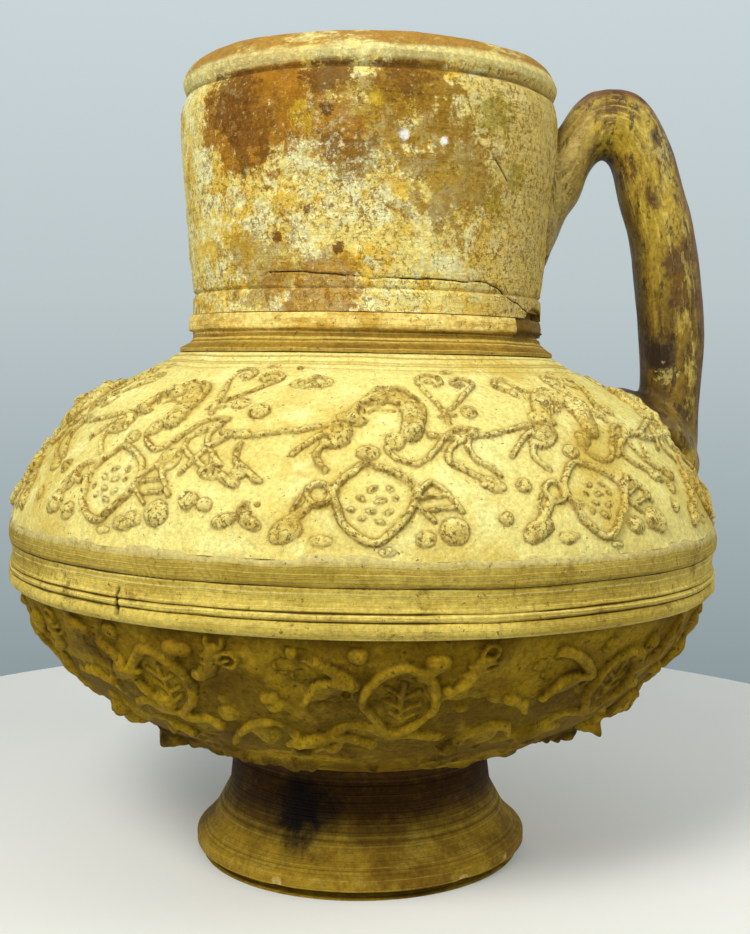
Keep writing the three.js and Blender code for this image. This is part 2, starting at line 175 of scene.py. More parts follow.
def spun(name, runs, sides, cuts):
    """Draws the outline point by point, spins it round the axis and subdivides the wall it leaves."""
    path, along, stops, starts = drawn(runs)
    places = np.stack([np.interp(stops, along, path[:, k]) for k in (0, 1)], 1) * MM
    bpy.ops.object.select_all(action="DESELECT")
    bpy.ops.mesh.primitive_plane_add(size=0.01)
    piece = bpy.context.object
    piece.name = piece.data.name = name
    bpy.ops.object.mode_set(mode="EDIT")
    bpy.ops.mesh.merge(type="CENTER")
    bpy.ops.transform.translate(value=(places[0][0], 0, places[0][1]))
    for step in np.diff(places, axis=0):
        bpy.ops.mesh.extrude_region_move(TRANSFORM_OT_translate={"value": (step[0], 0, step[1])})
    bpy.ops.object.mode_set(mode="OBJECT")
    rises = [stops[int(np.argmin(np.hypot(*(places - (v.co.x, v.co.z)).T)))] for v in piece.data.vertices]
    rises[[v.select for v in piece.data.vertices].index(True)] = stops[-1]
    piece.data.attributes.new("rise", "FLOAT", "POINT").data.foreach_set("value", rises)
    bpy.ops.object.mode_set(mode="EDIT")
    bpy.ops.mesh.select_all(action="SELECT")
    bpy.ops.mesh.spin(steps=sides, angle=2 * math.pi, center=(0, 0, 0), axis=(0, 0, 1), use_auto_merge=False)
    bpy.ops.mesh.select_all(action="SELECT")
    bpy.ops.mesh.subdivide(number_cuts=cuts)
    bpy.ops.object.mode_set(mode="OBJECT")
    return piece, path, along, starts


def lumps(points, size, seed):
    """Soft random height from -1 to 1 that changes over about that many millimetres."""
    values = np.random.default_rng(seed).uniform(-1, 1, (32, 32, 32))
    place = points / np.array(size, float) + 512.37
    cell = np.floor(place).astype(int)
    part = place - cell
    part = part * part * (3 - 2 * part)
    cell %= 32
    after = (cell + 1) % 32
    total = np.zeros(len(points))
    for corner in range(8):
        pick = [(corner >> k) & 1 for k in range(3)]
        weight = np.prod([part[:, k] if pick[k] else 1 - part[:, k] for k in range(3)], axis=0)
        total += weight * values[tuple((after if pick[k] else cell)[:, k] for k in range(3))]
    return total


def shaped(piece, path, along, raise_by, marks=()):
    """Puts every vertex on the true path at its own angle, moves it out by the height of the surface there,
    leans it over with the pot, and keeps the marks that the material reads."""
    mesh = piece.data
    count = len(mesh.vertices)
    flat = np.zeros(count * 3, np.float32)
    mesh.vertices.foreach_get("co", flat)
    spots = flat.reshape(-1, 3).astype(float)
    rise = np.zeros(count, np.float32)
    mesh.attributes["rise"].data.foreach_get("value", rise)
    angle = np.arctan2(spots[:, 0], -spots[:, 1])
    tangent = np.gradient(path, along, axis=0)
    tangent /= np.maximum(np.hypot(*tangent.T), 1e-9)[:, None]
    radius, z = (np.interp(rise, along, path[:, k]) for k in (0, 1))
    out_r, out_z = np.interp(rise, along, tangent[:, 1]), np.interp(rise, along, -tangent[:, 0])
    seat = np.stack([radius * np.sin(angle), -radius * np.cos(angle), z], 1)
    lift, shift, kept = raise_by(np.degrees(angle), rise.astype(float), seat)
    radius = radius + out_r * lift
    z = z + out_z * lift + shift
    x = radius * np.sin(angle)
    share = np.clip(z / FOOT_HEIGHT, 0, 1)
    spots = np.stack([x + np.maximum(z - FOOT_HEIGHT, 0) * LEAN, -radius * np.cos(angle), z - x * share * LEAN], 1)
    mesh.vertices.foreach_set("co", (spots * MM).astype(np.float32).ravel())
    for key, value in kept.items():
        mesh.attributes.new(key, "FLOAT", "POINT").data.foreach_set("value", value.astype(np.float32))
    bpy.ops.object.mode_set(mode="EDIT")
    bpy.ops.mesh.select_all(action="SELECT")
    bpy.ops.mesh.remove_doubles(threshold=1e-6)
    bpy.ops.mesh.normals_make_consistent(inside=False)
    bpy.ops.object.mode_set(mode="OBJECT")


def thinned(piece, triangles):
    """Spends the triangles where the surface bends, then shades it smooth round soft edges only."""
    now = len(piece.data.loops) - 2 * len(piece.data.polygons)
    if now > triangles:
        fewer = piece.modifiers.new("fewer", "DECIMATE")
        fewer.ratio = triangles / now
        fewer.use_collapse_triangulate = True
        bpy.ops.object.modifier_apply(modifier=fewer.name)
    bpy.ops.object.shade_smooth_by_angle(angle=math.radians(55))


def fitted(piece, material, slot, *nodes):
    """Gives a finished piece its clay and lets it stand for its nodes of the model."""
    piece.data.materials.clear()
    piece.data.materials.append(material)
    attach(piece, "root")
    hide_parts(*nodes)


def clay(name, roughness, sheen=0.12):
    """A bare clay material, dull unless hands have polished it."""
    material = bpy.data.materials.new(name)
    material.use_nodes = True
    tree = material.node_tree
    shader = tree.nodes["Principled BSDF"]
    shader.inputs["Roughness"].default_value = roughness
    shader.inputs["Specular IOR Level"].default_value = sheen
    return material, tree, shader


def speckle(tree, size, detail=4, rough=0.6, stretch=(1, 1, 1), seed=0, warp=0):
    """Noise whose spots are about that many millimetres across."""
    place = node(tree, "Mapping", {
        "Vector": node(tree, "TexCoord").outputs["Object"],
        "Location": (seed * 1.7, seed * 0.9, seed * 2.3),
        "Scale": tuple(1000 / size / s for s in stretch)})
    return node(tree, "TexNoise", {
        "Vector": place.outputs[0], "Scale": 1, "Detail": detail, "Roughness": rough, "Distortion": warp}).outputs[0]


def share_of(tree, value, low, high):
    """0 below the low value, 1 above the high one, and soft between."""
    return node(tree, "MapRange", {"Value": value, "From Min": low, "From Max": high},
                interpolation_type="SMOOTHSTEP").outputs[0]


def times(tree, first, second):
    return node(tree, "Math", {0: first, 1: second}, operation="MULTIPLY").outputs[0]


def plus(tree, first, second):
    return node(tree, "Math", {0: first, 1: second}, operation="ADD").outputs[0]


def over(tree, under, colour, share):
    """Lays a colour over another by a share."""
    return node(tree, "Mix", {0: share, 6: under, 7: colour}, data_type="RGBA").outputs[2]


def grained(tree, colour, size, strength, seed):
    """Darkens and lightens a colour in grains about that many millimetres across."""
    grain = node(tree, "MapRange", {"Value": speckle(tree, size, 5, 0.75, seed=seed), "From Min": 0.32, "From Max": 0.66,
                                    "To Min": 1 - strength, "To Max": 1 + strength / 3}).outputs[0]
    grown = node(tree, "VectorMath", {0: colour, "Scale": grain}, operation="SCALE").outputs[0]
    return node(tree, "VectorMath", {0: grown, 1: (0.97, 0.97, 0.97)}, operation="MINIMUM").outputs[0]


def mark(tree, name):
    return node(tree, "Attribute", attribute_name=name).outputs["Fac"]


def rough_skin(tree, shader, heights):
    """Chains bumps of (height, depth in millimetres) and gives them to the shader."""
    normal = None
    for value, depth in heights:
        inputs = {"Height": value, "Distance": depth * MM, "Strength": 1}
        if normal:
            inputs["Normal"] = normal
        normal = node(tree, "Bump", inputs).outputs[0]
    tree.links.new(normal, shader.inputs["Normal"])


foot_outside = [(55.6, 0), (57.8, 2.2), *bezier((57.8, 6.5), (45.6, 16.5), (STEM_RADIUS, 30)), (STEM_RADIUS, FOOT_HEIGHT + 0.2)]
foot_inside = [(38.6, FOOT_HEIGHT + 0.2), *bezier((38.6, 30), (39.6, 10), (49, 0))]
foot, path, along, starts = spun("foot", [
    (foot_outside, 4.4), ([foot_outside[-1], foot_inside[0]], 6), (foot_inside, 20), ([(49, 0), (55.6, 0)], 7)], 90, 7)


def foot_skin(degrees, rise, seat):
    ring = np.stack([np.cos(np.radians(degrees)) * 8, np.sin(np.radians(degrees)) * 8, rise * 30], 1)
    outside = np.clip((rise - 1) / 3, 0, 1) * np.clip((FOOT_HEIGHT - seat[:, 2]) / 3, 0, 1) * (rise < 62)
    edge = np.clip(1 - np.abs(rise - 4) / 5.5, 0, 1)
    wheel = 0.1 * lumps(ring, (14, 14, 26), 3) + 0.07 * lumps(ring, (9, 9, 55), 4) + 0.05 * lumps(ring, (20, 20, 14), 5)
    worn = 0.22 * lumps(seat, (30, 30, 30), 6) + 0.1 * lumps(seat, (9, 9, 7), 7)
    chips = sum(np.clip(1.6 - np.hypot((degrees - at) / wide, (seat[:, 2] - up) / 3) * 1.6, 0, 1)
                for at, wide, up in ((-27, 2.6, 5), (36, 3, 3.5), (110, 3, 4), (-130, 4, 3), (58, 2, 6)))
    chips = np.clip(chips * (0.8 + 0.6 * lumps(seat, (2.4, 2.4, 2.4), 8)), 0, 1) * edge
    return outside * (wheel + worn - 0.8 * chips), 0 * rise, {"turned": rise * MM, "chip": chips}


shaped(foot, path, along, foot_skin)
thinned(foot, 120000)
foot_clay, tree, shader = clay("smoked_foot_clay", 0.72)


def wheel_lines(tree, size, seed):
    """Fine rings left by the wheel, which follow the outline and waver a little."""
    ring = node(tree, "Math", {0: mark(tree, "turned"), 1: times(tree, speckle(tree, 45, 2, seed=seed), 0.0016)},
                operation="ADD").outputs[0]
    return node(tree, "TexNoise", {"W": ring, "Scale": 1000 / size, "Detail": 3, "Roughness": 0.7},
                noise_dimensions="1D").outputs[0]


lines = wheel_lines(tree, 1.6, 1)
colour = over(tree, (0.35, 0.22, 0.015, 1), (0.19, 0.105, 0.007, 1), share_of(tree, speckle(tree, 20, 6, 0.65), 0.42, 0.64))
colour = over(tree, colour, (0.46, 0.34, 0.045, 1), times(tree, share_of(tree, speckle(tree, 12, 6, 0.7, (2, 2, 1), seed=2), 0.46, 0.7), 0.7))
colour = over(tree, colour, (0.1, 0.05, 0.005, 1), times(tree, share_of(tree, lines, 0.56, 0.68), 0.55))
colour = over(tree, colour, (0.56, 0.43, 0.08, 1), times(tree, share_of(tree, lines, 0.42, 0.32), 0.3))
place = node(tree, "TexCoord").outputs["Object"]
stem_z = node(tree, "SeparateXYZ", {"Vector": place}).outputs["Z"]
# Painted shade: the top of the stem, under the belly, is painted dark all round, partly its own darker clay and partly
# painted shade.
stem = share_of(tree, plus(tree, stem_z, times(tree, speckle(tree, 16, 5, seed=3), 0.014)), 0.021, 0.034)
stem_tone_and_shade = over(tree, (0.045, 0.016, 0.001, 1), (0.11, 0.055, 0.004, 1), share_of(tree, speckle(tree, 9, 6, 0.7, seed=5), 0.5, 0.7))
stem_tone_and_shade = over(tree, stem_tone_and_shade, (0.03, 0.01, 0.001, 1), times(tree, share_of(tree, lines, 0.5, 0.66), 0.8))
colour = over(tree, colour, stem_tone_and_shade, times(tree, stem, 0.95))
burn = node(tree, "VectorMath", {0: place, 1: (-0.02, -0.047, 0.026)}, operation="DISTANCE").outputs["Value"]
burn = share_of(tree, plus(tree, burn, times(tree, speckle(tree, 9, 6, 0.7, seed=4), 0.022)), 0.029, 0.017)
colour = over(tree, colour, (0.006, 0.0025, 0.001, 1), burn)
colour = over(tree, colour, (0.7, 0.52, 0.15, 1), times(tree, share_of(tree, mark(tree, "chip"), 0.2, 0.6), 0.7))
tree.links.new(grained(tree, colour, 1.8, 0.4, 6), shader.inputs["Base Color"])
rough_skin(tree, shader, [(lines, 0.6), (speckle(tree, 1.4, 5, 0.7), 0.35)])
fitted(foot, foot_clay, "foot_clay", "foot_ring")

# Lower half of the belly: clay pressed into a bowl-shaped mould whose carved frieze it keeps in relief.
# Its floor closes the foot. Little light reaches it, dirt lies in the relief, and drips hang from its belly.
# Its colour is painted darker than the upper half's, partly as painted shade; painted shade lies beside the ribs and a
# painted highlight on their crests.
BODY_RADIUS = 119.6
BOWL_START = FOOT_HEIGHT + 0.3
BAND_BOTTOM = FOOT_HEIGHT + 57.05
SEAM = FOOT_HEIGHT + 67.7
BAND_SEAT = 116
HOLLOW = 109.5
DEGREE_STEP = 0.125
ROW_STEP = 0.25


def smooth_line(points, closed=False, count=8):
    """A curve through the points, as three numbers or two each."""
    points = np.array(points, float)
    if closed:
        points = np.vstack([points[-2], points, points[1]])
    else:
        points = np.vstack([points[0], points, points[-1]])
    t = np.linspace(0, 1, count, endpoint=False)[:, None]
    pieces = []
    for a, b, c, d in zip(points, points[1:], points[2:], points[3:]):
        v0, v1 = (c - a) / 2, (d - b) / 2
        pieces.append((2 * b - 2 * c + v0 + v1) * t ** 3 + (3 * c - 3 * b - 2 * v0 - v1) * t ** 2 + v0 * t + b)
    return np.vstack(pieces + [points[-2][None]])


class Mould:
    """The mould's surface: heights in millimetres by degrees round the pot and millimetres up its wall."""

    def __init__(self, profile, fineness, boldness):
        self.fineness, self.boldness = fineness, boldness
        self.way = np.r_[0, np.cumsum(np.hypot(*np.diff(profile, axis=0).T))]
        self.radius = profile[:, 0]
        self.rows = int(self.way[-1] / ROW_STEP) + 2
        self.columns = int(360 / DEGREE_STEP)
        self.height = np.zeros((self.rows, self.columns))

    def window(self, points, margin):
        """The part of the surface round some points, and what its millimetres are per degree."""
        middle = float(np.mean(points[:, 1]))
        per_degree = float(np.interp(middle, self.way, self.radius)) * math.pi / 180
        low, high = points.min(0), points.max(0)
        columns = np.arange(int((low[0] - margin / per_degree) / DEGREE_STEP) - 1,
                            int((high[0] + margin / per_degree) / DEGREE_STEP) + 2)
        rows = np.arange(max(0, int((low[1] - margin) / ROW_STEP)), min(self.rows, int((high[1] + margin) / ROW_STEP) + 2))
        grid = np.meshgrid(columns * DEGREE_STEP * per_degree, rows * ROW_STEP)
        return rows[:, None], columns[None, :] % self.columns, grid, per_degree

    def press(self, rows, columns, value, sink):
        """Raises the surface to a height where it is lower, or sinks it."""
        old = self.height[rows, columns]
        self.height[rows, columns] = np.minimum(old, -value) if sink else np.maximum(old, value)

    def rib(self, points, width, height, closed=False, sink=False):
        """A rounded rib, or a groove, along a curve through the points."""
        width, height = width * self.fineness, height * self.boldness
        line = smooth_line(points, closed)
        rows, columns, (x, y), per_degree = self.window(line, width)
        line = line * (per_degree, 1)
        nearest = np.full(x.shape, 1e9)
        for a, b in zip(line, line[1:]):
            span = b - a
            t = np.clip(((x - a[0]) * span[0] + (y - a[1]) * span[1]) / max(span @ span, 1e-9), 0, 1)
            nearest = np.minimum(nearest, np.hypot(x - a[0] - t * span[0], y - a[1] - t * span[1]))
        self.press(rows, columns, height * np.clip(1 - (nearest / (width / 2)) ** 2, 0, 1) ** 0.55, sink)

    def knob(self, place, size, height, turn=0, sink=False, power=0.6):
        """An oval lump, or a hole, of that length and breadth in millimetres."""
        height = height * self.boldness
        points = np.array([place], float)
        rows, columns, (x, y), per_degree = self.window(points, max(size))
        dx, dy = x - place[0] * per_degree, y - place[1]
        c, s = math.cos(math.radians(turn)), math.sin(math.radians(turn))
        reach = ((c * dx + s * dy) / size[0] * 2) ** 2 + ((c * dy - s * dx) / size[1] * 2) ** 2
        self.press(rows, columns, height * np.clip(1 - reach, 0, 1) ** power, sink)

    def ring(self, place, size, width, height):
        """An oval rib round a place."""
        points = np.array([place], float)
        rows, columns, (x, y), per_degree = self.window(points, max(size))
        dx, dy = x - place[0] * per_degree, y - place[1]
        reach = np.hypot(dx / size[0] * 2, dy / size[1] * 2)
        far = (reach - 1) * min(size) / 2
        height = height * self.boldness
        self.press(rows, columns, height * np.clip(1 - (far / (width / 2)) ** 2, 0, 1) ** 0.55, False)

    def softened(self, millimetres, surface=None):
        """The surface, or another over the same places, blurred over that distance."""
        out = self.height if surface is None else surface
        for axis, step in ((0, ROW_STEP), (1, 1.9 * DEGREE_STEP)):
            reach = max(1, int(millimetres / step))
            kernel = np.hanning(2 * reach + 3)[1:-1]
            kernel /= kernel.sum()
            padded = np.pad(out, [(reach, reach), (0, 0)], "edge") if axis == 0 else np.pad(out, [(0, 0), (reach, reach)], "wrap")
            out = np.apply_along_axis(lambda line: np.convolve(line, kernel, "valid"), axis, padded)
        return out

    def feet(self):
        """Lines from 0 to 1 along the feet of the figures, where a tool has outlined them."""
        inside = self.softened(0.45, (np.abs(self.height) > 0.12).astype(float))
        return 4 * inside * (1 - inside)

    def read(self, surface, degrees, way):
        """Heights of a surface at places."""
        column = (degrees % 360) / DEGREE_STEP
        row = np.clip(way / ROW_STEP, 0, self.rows - 1.001)
        c0, r0 = np.floor(column).astype(int), np.floor(row).astype(int)
        c, r = column - c0, row - r0
        c0 %= self.columns
        c1 = (c0 + 1) % self.columns
        return ((surface[r0, c0] * (1 - c) + surface[r0, c1] * c) * (1 - r)
                + (surface[r0 + 1, c0] * (1 - c) + surface[r0 + 1, c1] * c) * r)


def shifted(points, degrees, millimetres=0):
    return [(a + degrees, b + millimetres) for a, b in points]


share = np.linspace(0, 1, 200)
bowl_rise = (BAND_BOTTOM - BOWL_START) / 67.7 * (1 - np.cos(share * math.pi / 2))
bowl = np.stack([STEM_RADIUS + (BODY_RADIUS - STEM_RADIUS) * (1 - (1 - bowl_rise) ** 1.57) ** (1 / 1.57),
                 BOWL_START + 67.7 * bowl_rise], 1)
lower_mould = Mould(bowl, 1.3, 1.3)


def lower_unit(m, d, up):
    """One repeat of the lower frieze, turned by some degrees and moved up by some millimetres."""
    m.rib(shifted([(6, 87), (9.5, 84), (11.3, 76), (10.5, 68), (6, 60.5), (3, 66), (1, 72), (1, 77), (3, 83), (6, 87)], d, up),
          2.6, 1.7, closed=True)
    m.rib(shifted([(6.6, 81), (6.3, 66)], d, up), 1.3, 0.9)
    for side, rise in ((-2.2, 79), (2.4, 78), (-2.4, 74), (2.6, 73), (-1.8, 69.5), (2, 69)):
        m.rib(shifted([(6.5, rise - 3), (6.5 + side, rise)], d, up), 1.4, 0.8)
    m.knob((d, up + 90.5), (6, 6), 1.5)
    m.knob((d + 11, up + 88.5), (7, 6.5), 1.7)
    m.knob((d + 16.3, up + 69.5), (5.6, 4.6), 1.3)
    m.rib(shifted([(-9, 91), (-5.5, 88), (-2, 83), (-0.5, 80)], d, up), 3, 1.5)
    m.ring((d - 1.8, up + 77.5), (4, 4), 1.3, 1.2)
    m.ring((d + 18, up + 92), (5, 5), 1.6, 1.4)
    m.rib(shifted([(17.4, 89), (16, 82), (14.8, 80)], d, up), 3.6, 1.2)
    m.rib(shifted([(15, 84), (19.5, 86)], d, up), 1.2, 1.4)
    m.rib(shifted([(15.5, 87), (19.5, 88.5)], d, up), 1.2, 1.4)
    m.knob((d + 13.5, up + 78.5), (5.5, 4), 1.5)
    for a, b in ((27, 85), (30, 88.5), (29, 81)):
        m.knob((d + a, up + b), (5.4, 5), 1.6)
        m.knob((d + a + 0.3, up + b + 0.3), (1.6, 1.6), 0.2, sink=True)
    m.knob((d + 24, up + 73), (6, 5), 1.6)
    m.rib(shifted([(24, 73), (26, 70), (28.5, 65)], d, up), 2.6, 1.2)
    m.knob((d + 33, up + 77), (13, 7.5), 1.9, turn=25)
    m.rib(shifted([(29.5, 72), (31, 77), (34, 80), (37, 79)], d, up), 2, 2.2)
    m.knob((d - 12.5, up + 71.5), (6, 4), 1.7)
    m.rib(shifted([(-28, 83), (-26, 87)], d + 37, up), 3, 1.2)
    m.rib(shifted([(-12, 51), (-8, 53), (-4, 60), (-1, 63.5), (2, 63), (5, 60.5), (8, 60), (11, 60), (14, 57)], d, up), 3.2, 1.6)
    m.rib(shifted([(-12, 47), (-8, 48), (-5, 52), (-2, 57)], d, up), 2.2, 1.3)
    m.knob((d + 22, up + 57), (10, 12), 2.4)
    m.rib(shifted([(15, 50), (18, 57), (22, 62), (26, 60), (28, 54)], d, up), 2.4, 2.2)
    m.rib(shifted([(26, 50), (30, 55), (35, 57), (40, 53)], d, up), 3.4, 1.8)
    m.knob((d + 33, up + 50), (8, 5), 1.8, turn=30)


for turn, up in ((0, 0), (38.5, -1), (-37.5, 1.5), (75, 0), (111, 1), (146, -1), (182, 0.5), (218, -0.5), (254, 1), (288, 0)):
    lower_unit(lower_mould, turn, up)
lower_mould.knob((-24.7, 89.5), (5.5, 5.5), 1.6)
lower_mould.knob((-19.8, 91), (4.4, 4.4), 1.3)
lower_mould.ring((-18, 87.5), (5, 5), 1.5, 1.4)
lower_mould.knob((-33, 67), (8, 8), 2)
lower_mould.knob((-21, 66), (9, 7), 2)
for degrees, way, size, height in ((60, 44.5, (12, 10), 3), (55.8, 37.5, (6, 5), 1.6), (53.4, 34, (4.6, 4), 1.2), (66, 59, (6, 9), 1.4),
                                   (64, 52.5, (6, 7), 1.7), (67.5, 67, (7, 9), 1.3), (-53.4, 31.5, (14, 9), 2.7), (-59, 43.5, (9, 8), 2),
                                   (-63, 57, (8, 9), 1.6), (-66, 68, (7, 9), 1.4), (122, 43, (12, 9), 2.8), (-118, 40, (13, 9), 2.7)):
    lower_mould.knob((degrees, way), size, height, power=0.8)
    for aside, below, part in ((-2.6, -1.5, 0.9), (1.8, 2.4, 0.8), (0.4, -3.4, 0.7)):
        lower_mould.knob((degrees + aside, way + below), (size[0] * 0.45, size[1] * 0.5), height * part, power=0.9)
lower_soft = lower_mould.softened(0.6)
lower_wide = lower_mould.softened(2.6)
lower_feet = lower_mould.feet()

lower_half, path, along, starts = spun("lower_half", [
    ([(0, BOWL_START), (STEM_RADIUS, BOWL_START)], 45), (bowl, 3.6), ([bowl[-1], (BAND_SEAT, BAND_BOTTOM)], 4),
    ([(BAND_SEAT, BAND_BOTTOM), (BAND_SEAT, SEAM - 0.15)], 6), ([(BAND_SEAT, SEAM - 0.15), (HOLLOW, SEAM - 0.15)], 7),
    ([(HOLLOW, SEAM - 0.15), (HOLLOW, 92), (108, 82), (103, 72), (94, 62), (80, 53), (62, 46.9), (48, 45.8), (0, 45.8)], 40),
], 208, 7)
bowl_from = starts[1]
bowl_length = lower_mould.way[-1]


def lower_skin(degrees, rise, seat):
    way = rise - bowl_from
    outside = np.clip(way / 4, 0, 1) * np.clip((bowl_length - way) / 1.5, 0, 1) * (rise <= bowl_from + bowl_length)
    sway = 0.7 * lumps(seat, (11, 11, 11), 11) + 0.5 * lumps(seat, (4, 4, 4), 10)
    place = degrees + 0.52 * sway / np.maximum(np.hypot(seat[:, 0], seat[:, 1]) / 110, 0.3)
    climb = way + 0.6 * lumps(seat, (9, 9, 9), 12) + 0.4 * lumps(seat, (3.5, 3.5, 3.5), 20)
    wide = lower_mould.read(lower_wide, place, climb)
    relief = 0.62 * lower_mould.read(lower_soft, place, climb) + 0.7 * wide
    feet = lower_mould.read(lower_feet, place, climb)
    relief *= 1 + 0.4 * lumps(seat, (5, 5, 5), 13)
    low = np.clip((62 - way) / 14, 0, 1) * np.clip((way - 18) / 10, 0, 1)
    crust = np.clip(lumps(seat, (7, 7, 5), 14) + 0.7 * lumps(seat, (3, 3, 2.4), 15) - 0.1, 0, 1) * 2.6
    lump = 0.7 * lumps(seat, (24, 24, 24), 16) + 0.5 * lumps(seat, (7, 7, 7), 17) + 0.2 * lumps(seat, (2.6, 2.6, 2.6), 18)
    lump *= 1 - 0.6 * np.clip((way - 80) / 6, 0, 1)
    wheel = 0.12 * lumps(np.stack([degrees, degrees * 0, way], 1), (40, 40, 2.2), 19) * np.clip((way - 82) / 6, 0, 1)
    return outside * (relief + lump + low * crust + wheel - 0.4 * feet), 0 * rise, {
        "relief": np.clip(relief / 2, 0, 1) * outside,
        "feet": feet * outside,
        "shade_beside_relief": np.clip((wide - relief + 0.15 * wide) / 0.4, 0, 1) * outside,
        "height": np.clip(0.5 + lump / 1.6, 0, 1) * outside,
        "crust": np.clip(low * crust, 0, 1) * outside}


shaped(lower_half, path, along, lower_skin)
thinned(lower_half, 190000)
lower_clay, tree, shader = clay("shaded_moulded_clay", 0.66, 0.06)
# The ground is painted dark olive-brown, partly its own colour and partly painted shade.
colour = over(tree, (0.37, 0.235, 0.008, 1), (0.22, 0.125, 0.003, 1), share_of(tree, speckle(tree, 30, 5), 0.42, 0.6))
colour = over(tree, colour, (0.09, 0.05, 0.003, 1), times(tree, share_of(tree, mark(tree, "height"), 0.6, 0.05), 0.65))
colour = over(tree, colour, (0.45, 0.3, 0.018, 1), times(tree, share_of(tree, speckle(tree, 14, 6, 0.65, seed=5), 0.5, 0.68), 0.5))
# Painted highlight: the crests of the relief are painted lighter.
lit_crests = times(tree, mark(tree, "relief"), share_of(tree, speckle(tree, 4, 6, 0.7, seed=10), 0.34, 0.56))
colour = over(tree, colour, (0.46, 0.31, 0.02, 1), times(tree, lit_crests, 0.25))
# Painted shade: the ground beside the ribs is painted near black.
colour = over(tree, colour, (0.06, 0.03, 0.002, 1), times(tree, mark(tree, "shade_beside_relief"), 0.75))
colour = over(tree, colour, (0.035, 0.016, 0.001, 1), times(tree, mark(tree, "feet"), 0.7))
colour = over(tree, colour, (0.03, 0.012, 0.002, 1), times(tree, share_of(tree, speckle(tree, 2.4, 5, 0.7, seed=6), 0.6, 0.68), 0.75))
colour = over(tree, colour, (0.04, 0.018, 0.003, 1), times(tree, mark(tree, "crust"), times(tree, speckle(tree, 5, seed=7), 1.1)))
tree.links.new(grained(tree, colour, 1.7, 0.45, 17), shader.inputs["Base Color"])
rough_skin(tree, shader, [(speckle(tree, 3.5, 6, 0.65, seed=8), 1.4), (speckle(tree, 0.9, 4, 0.7, seed=9), 0.35)])
fitted(lower_half, lower_clay, "lower_clay", "lower_body")

# Coil inside the belly: a roll of clay pressed by finger into the seam of the two halves, out of sight.
# It is the model's own solid, in the pale clay of the inside, with pores and rubbed patches.
inner_clay, tree, shader = clay("pressed_inner_clay", 0.85)
colour = over(tree, (0.52, 0.42, 0.2, 1), (0.34, 0.25, 0.1, 1), share_of(tree, speckle(tree, 12, 6), 0.42, 0.62))
colour = over(tree, colour, (0.16, 0.1, 0.04, 1), times(tree, share_of(tree, speckle(tree, 2, 4, seed=3), 0.6, 0.7), 0.6))
tree.links.new(colour, shader.inputs["Base Color"])
rough_skin(tree, shader, [(speckle(tree, 6, 5), 1.2), (speckle(tree, 1.2, 4), 0.3)])
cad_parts["inner_seam_coil"].data.materials.clear()
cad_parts["inner_seam_coil"].data.materials.append(inner_clay)

# Upper half of the belly: pressed in a second mould, with a frieze of running animals over pointed medallions.
# Lamplight falls on it. The ground is pale, and the worn crests of the relief are brown and pitted.
RIM_RADIUS = 64.2
BAND_TOP = FOOT_HEIGHT + 78.35
SHOULDER = FOOT_HEIGHT + 133.4
shoulder = smooth_line([(RIM_RADIUS + (BODY_RADIUS - RIM_RADIUS) * spread, BAND_TOP + (SHOULDER - BAND_TOP) * rise)
                        for rise, spread in ((0, 1), (0.23, 0.92), (0.45, 0.77), (0.67, 0.58), (0.86, 0.25), (0.95, 0.08), (1, 0))],
                       count=40)
upper_mould = Mould(shoulder, 0.85, 1.15)


def medallion(m, d, up):
    """A pointed oval rib round rows of small leaves."""
    m.rib(shifted([(1, 28), (5, 25), (7.4, 20), (6.6, 14), (4.6, 9), (1.8, 4.6), (-2, 9), (-3, 14), (-3.5, 20), (-1, 26), (1, 28)],
                  d, up), 2.6, 1.5, closed=True)
    for a, b, length, turn in ((1.5, 20.4, 3.4, 25), (4, 20.6, 2.6, -30), (0, 17.6, 3, -20), (2.6, 17, 3.6, 15), (1.2, 14, 3.2, -15),
                               (3.6, 13.4, 2.6, 35), (2.4, 10.6, 3.4, -25), (0, 11.8, 2.4, 20), (4.6, 17.6, 2, 60), (-1.4, 14.4, 2, 70)):
        m.knob((d + a, up + b), (length, 1.7), 0.9, turn)


def palmette(m, d, up):
    """A stem with two curls over it."""
    m.rib(shifted([(14.5, 42), (14, 47), (12.8, 54), (12, 59), (11.4, 63), (12, 66.5), (14, 68), (16, 66.5), (16.4, 63.5), (15, 61.5)],
                  d, up), 1.9, 1.0)
    m.rib(shifted([(15.3, 48), (18, 53), (20.4, 57), (23, 61), (23.3, 64), (21.5, 66), (19.4, 65), (18.8, 62.8), (20, 61)], d, up), 1.9, 1.0)
    m.knob((d + 13.8, up + 64), (3, 2.6), 0.8)
    m.knob((d + 20.8, up + 62.6), (3, 2.4), 0.8)
    m.knob((d + 19.2, up + 70.5), (4.4, 2.4), 0.6, 10)
    m.knob((d + 18.8, up + 47.4), (6.4, 5), 1.1, 70)
    m.rib(shifted([(13, 44.5), (16, 45.5)], d, up), 1.6, 1)


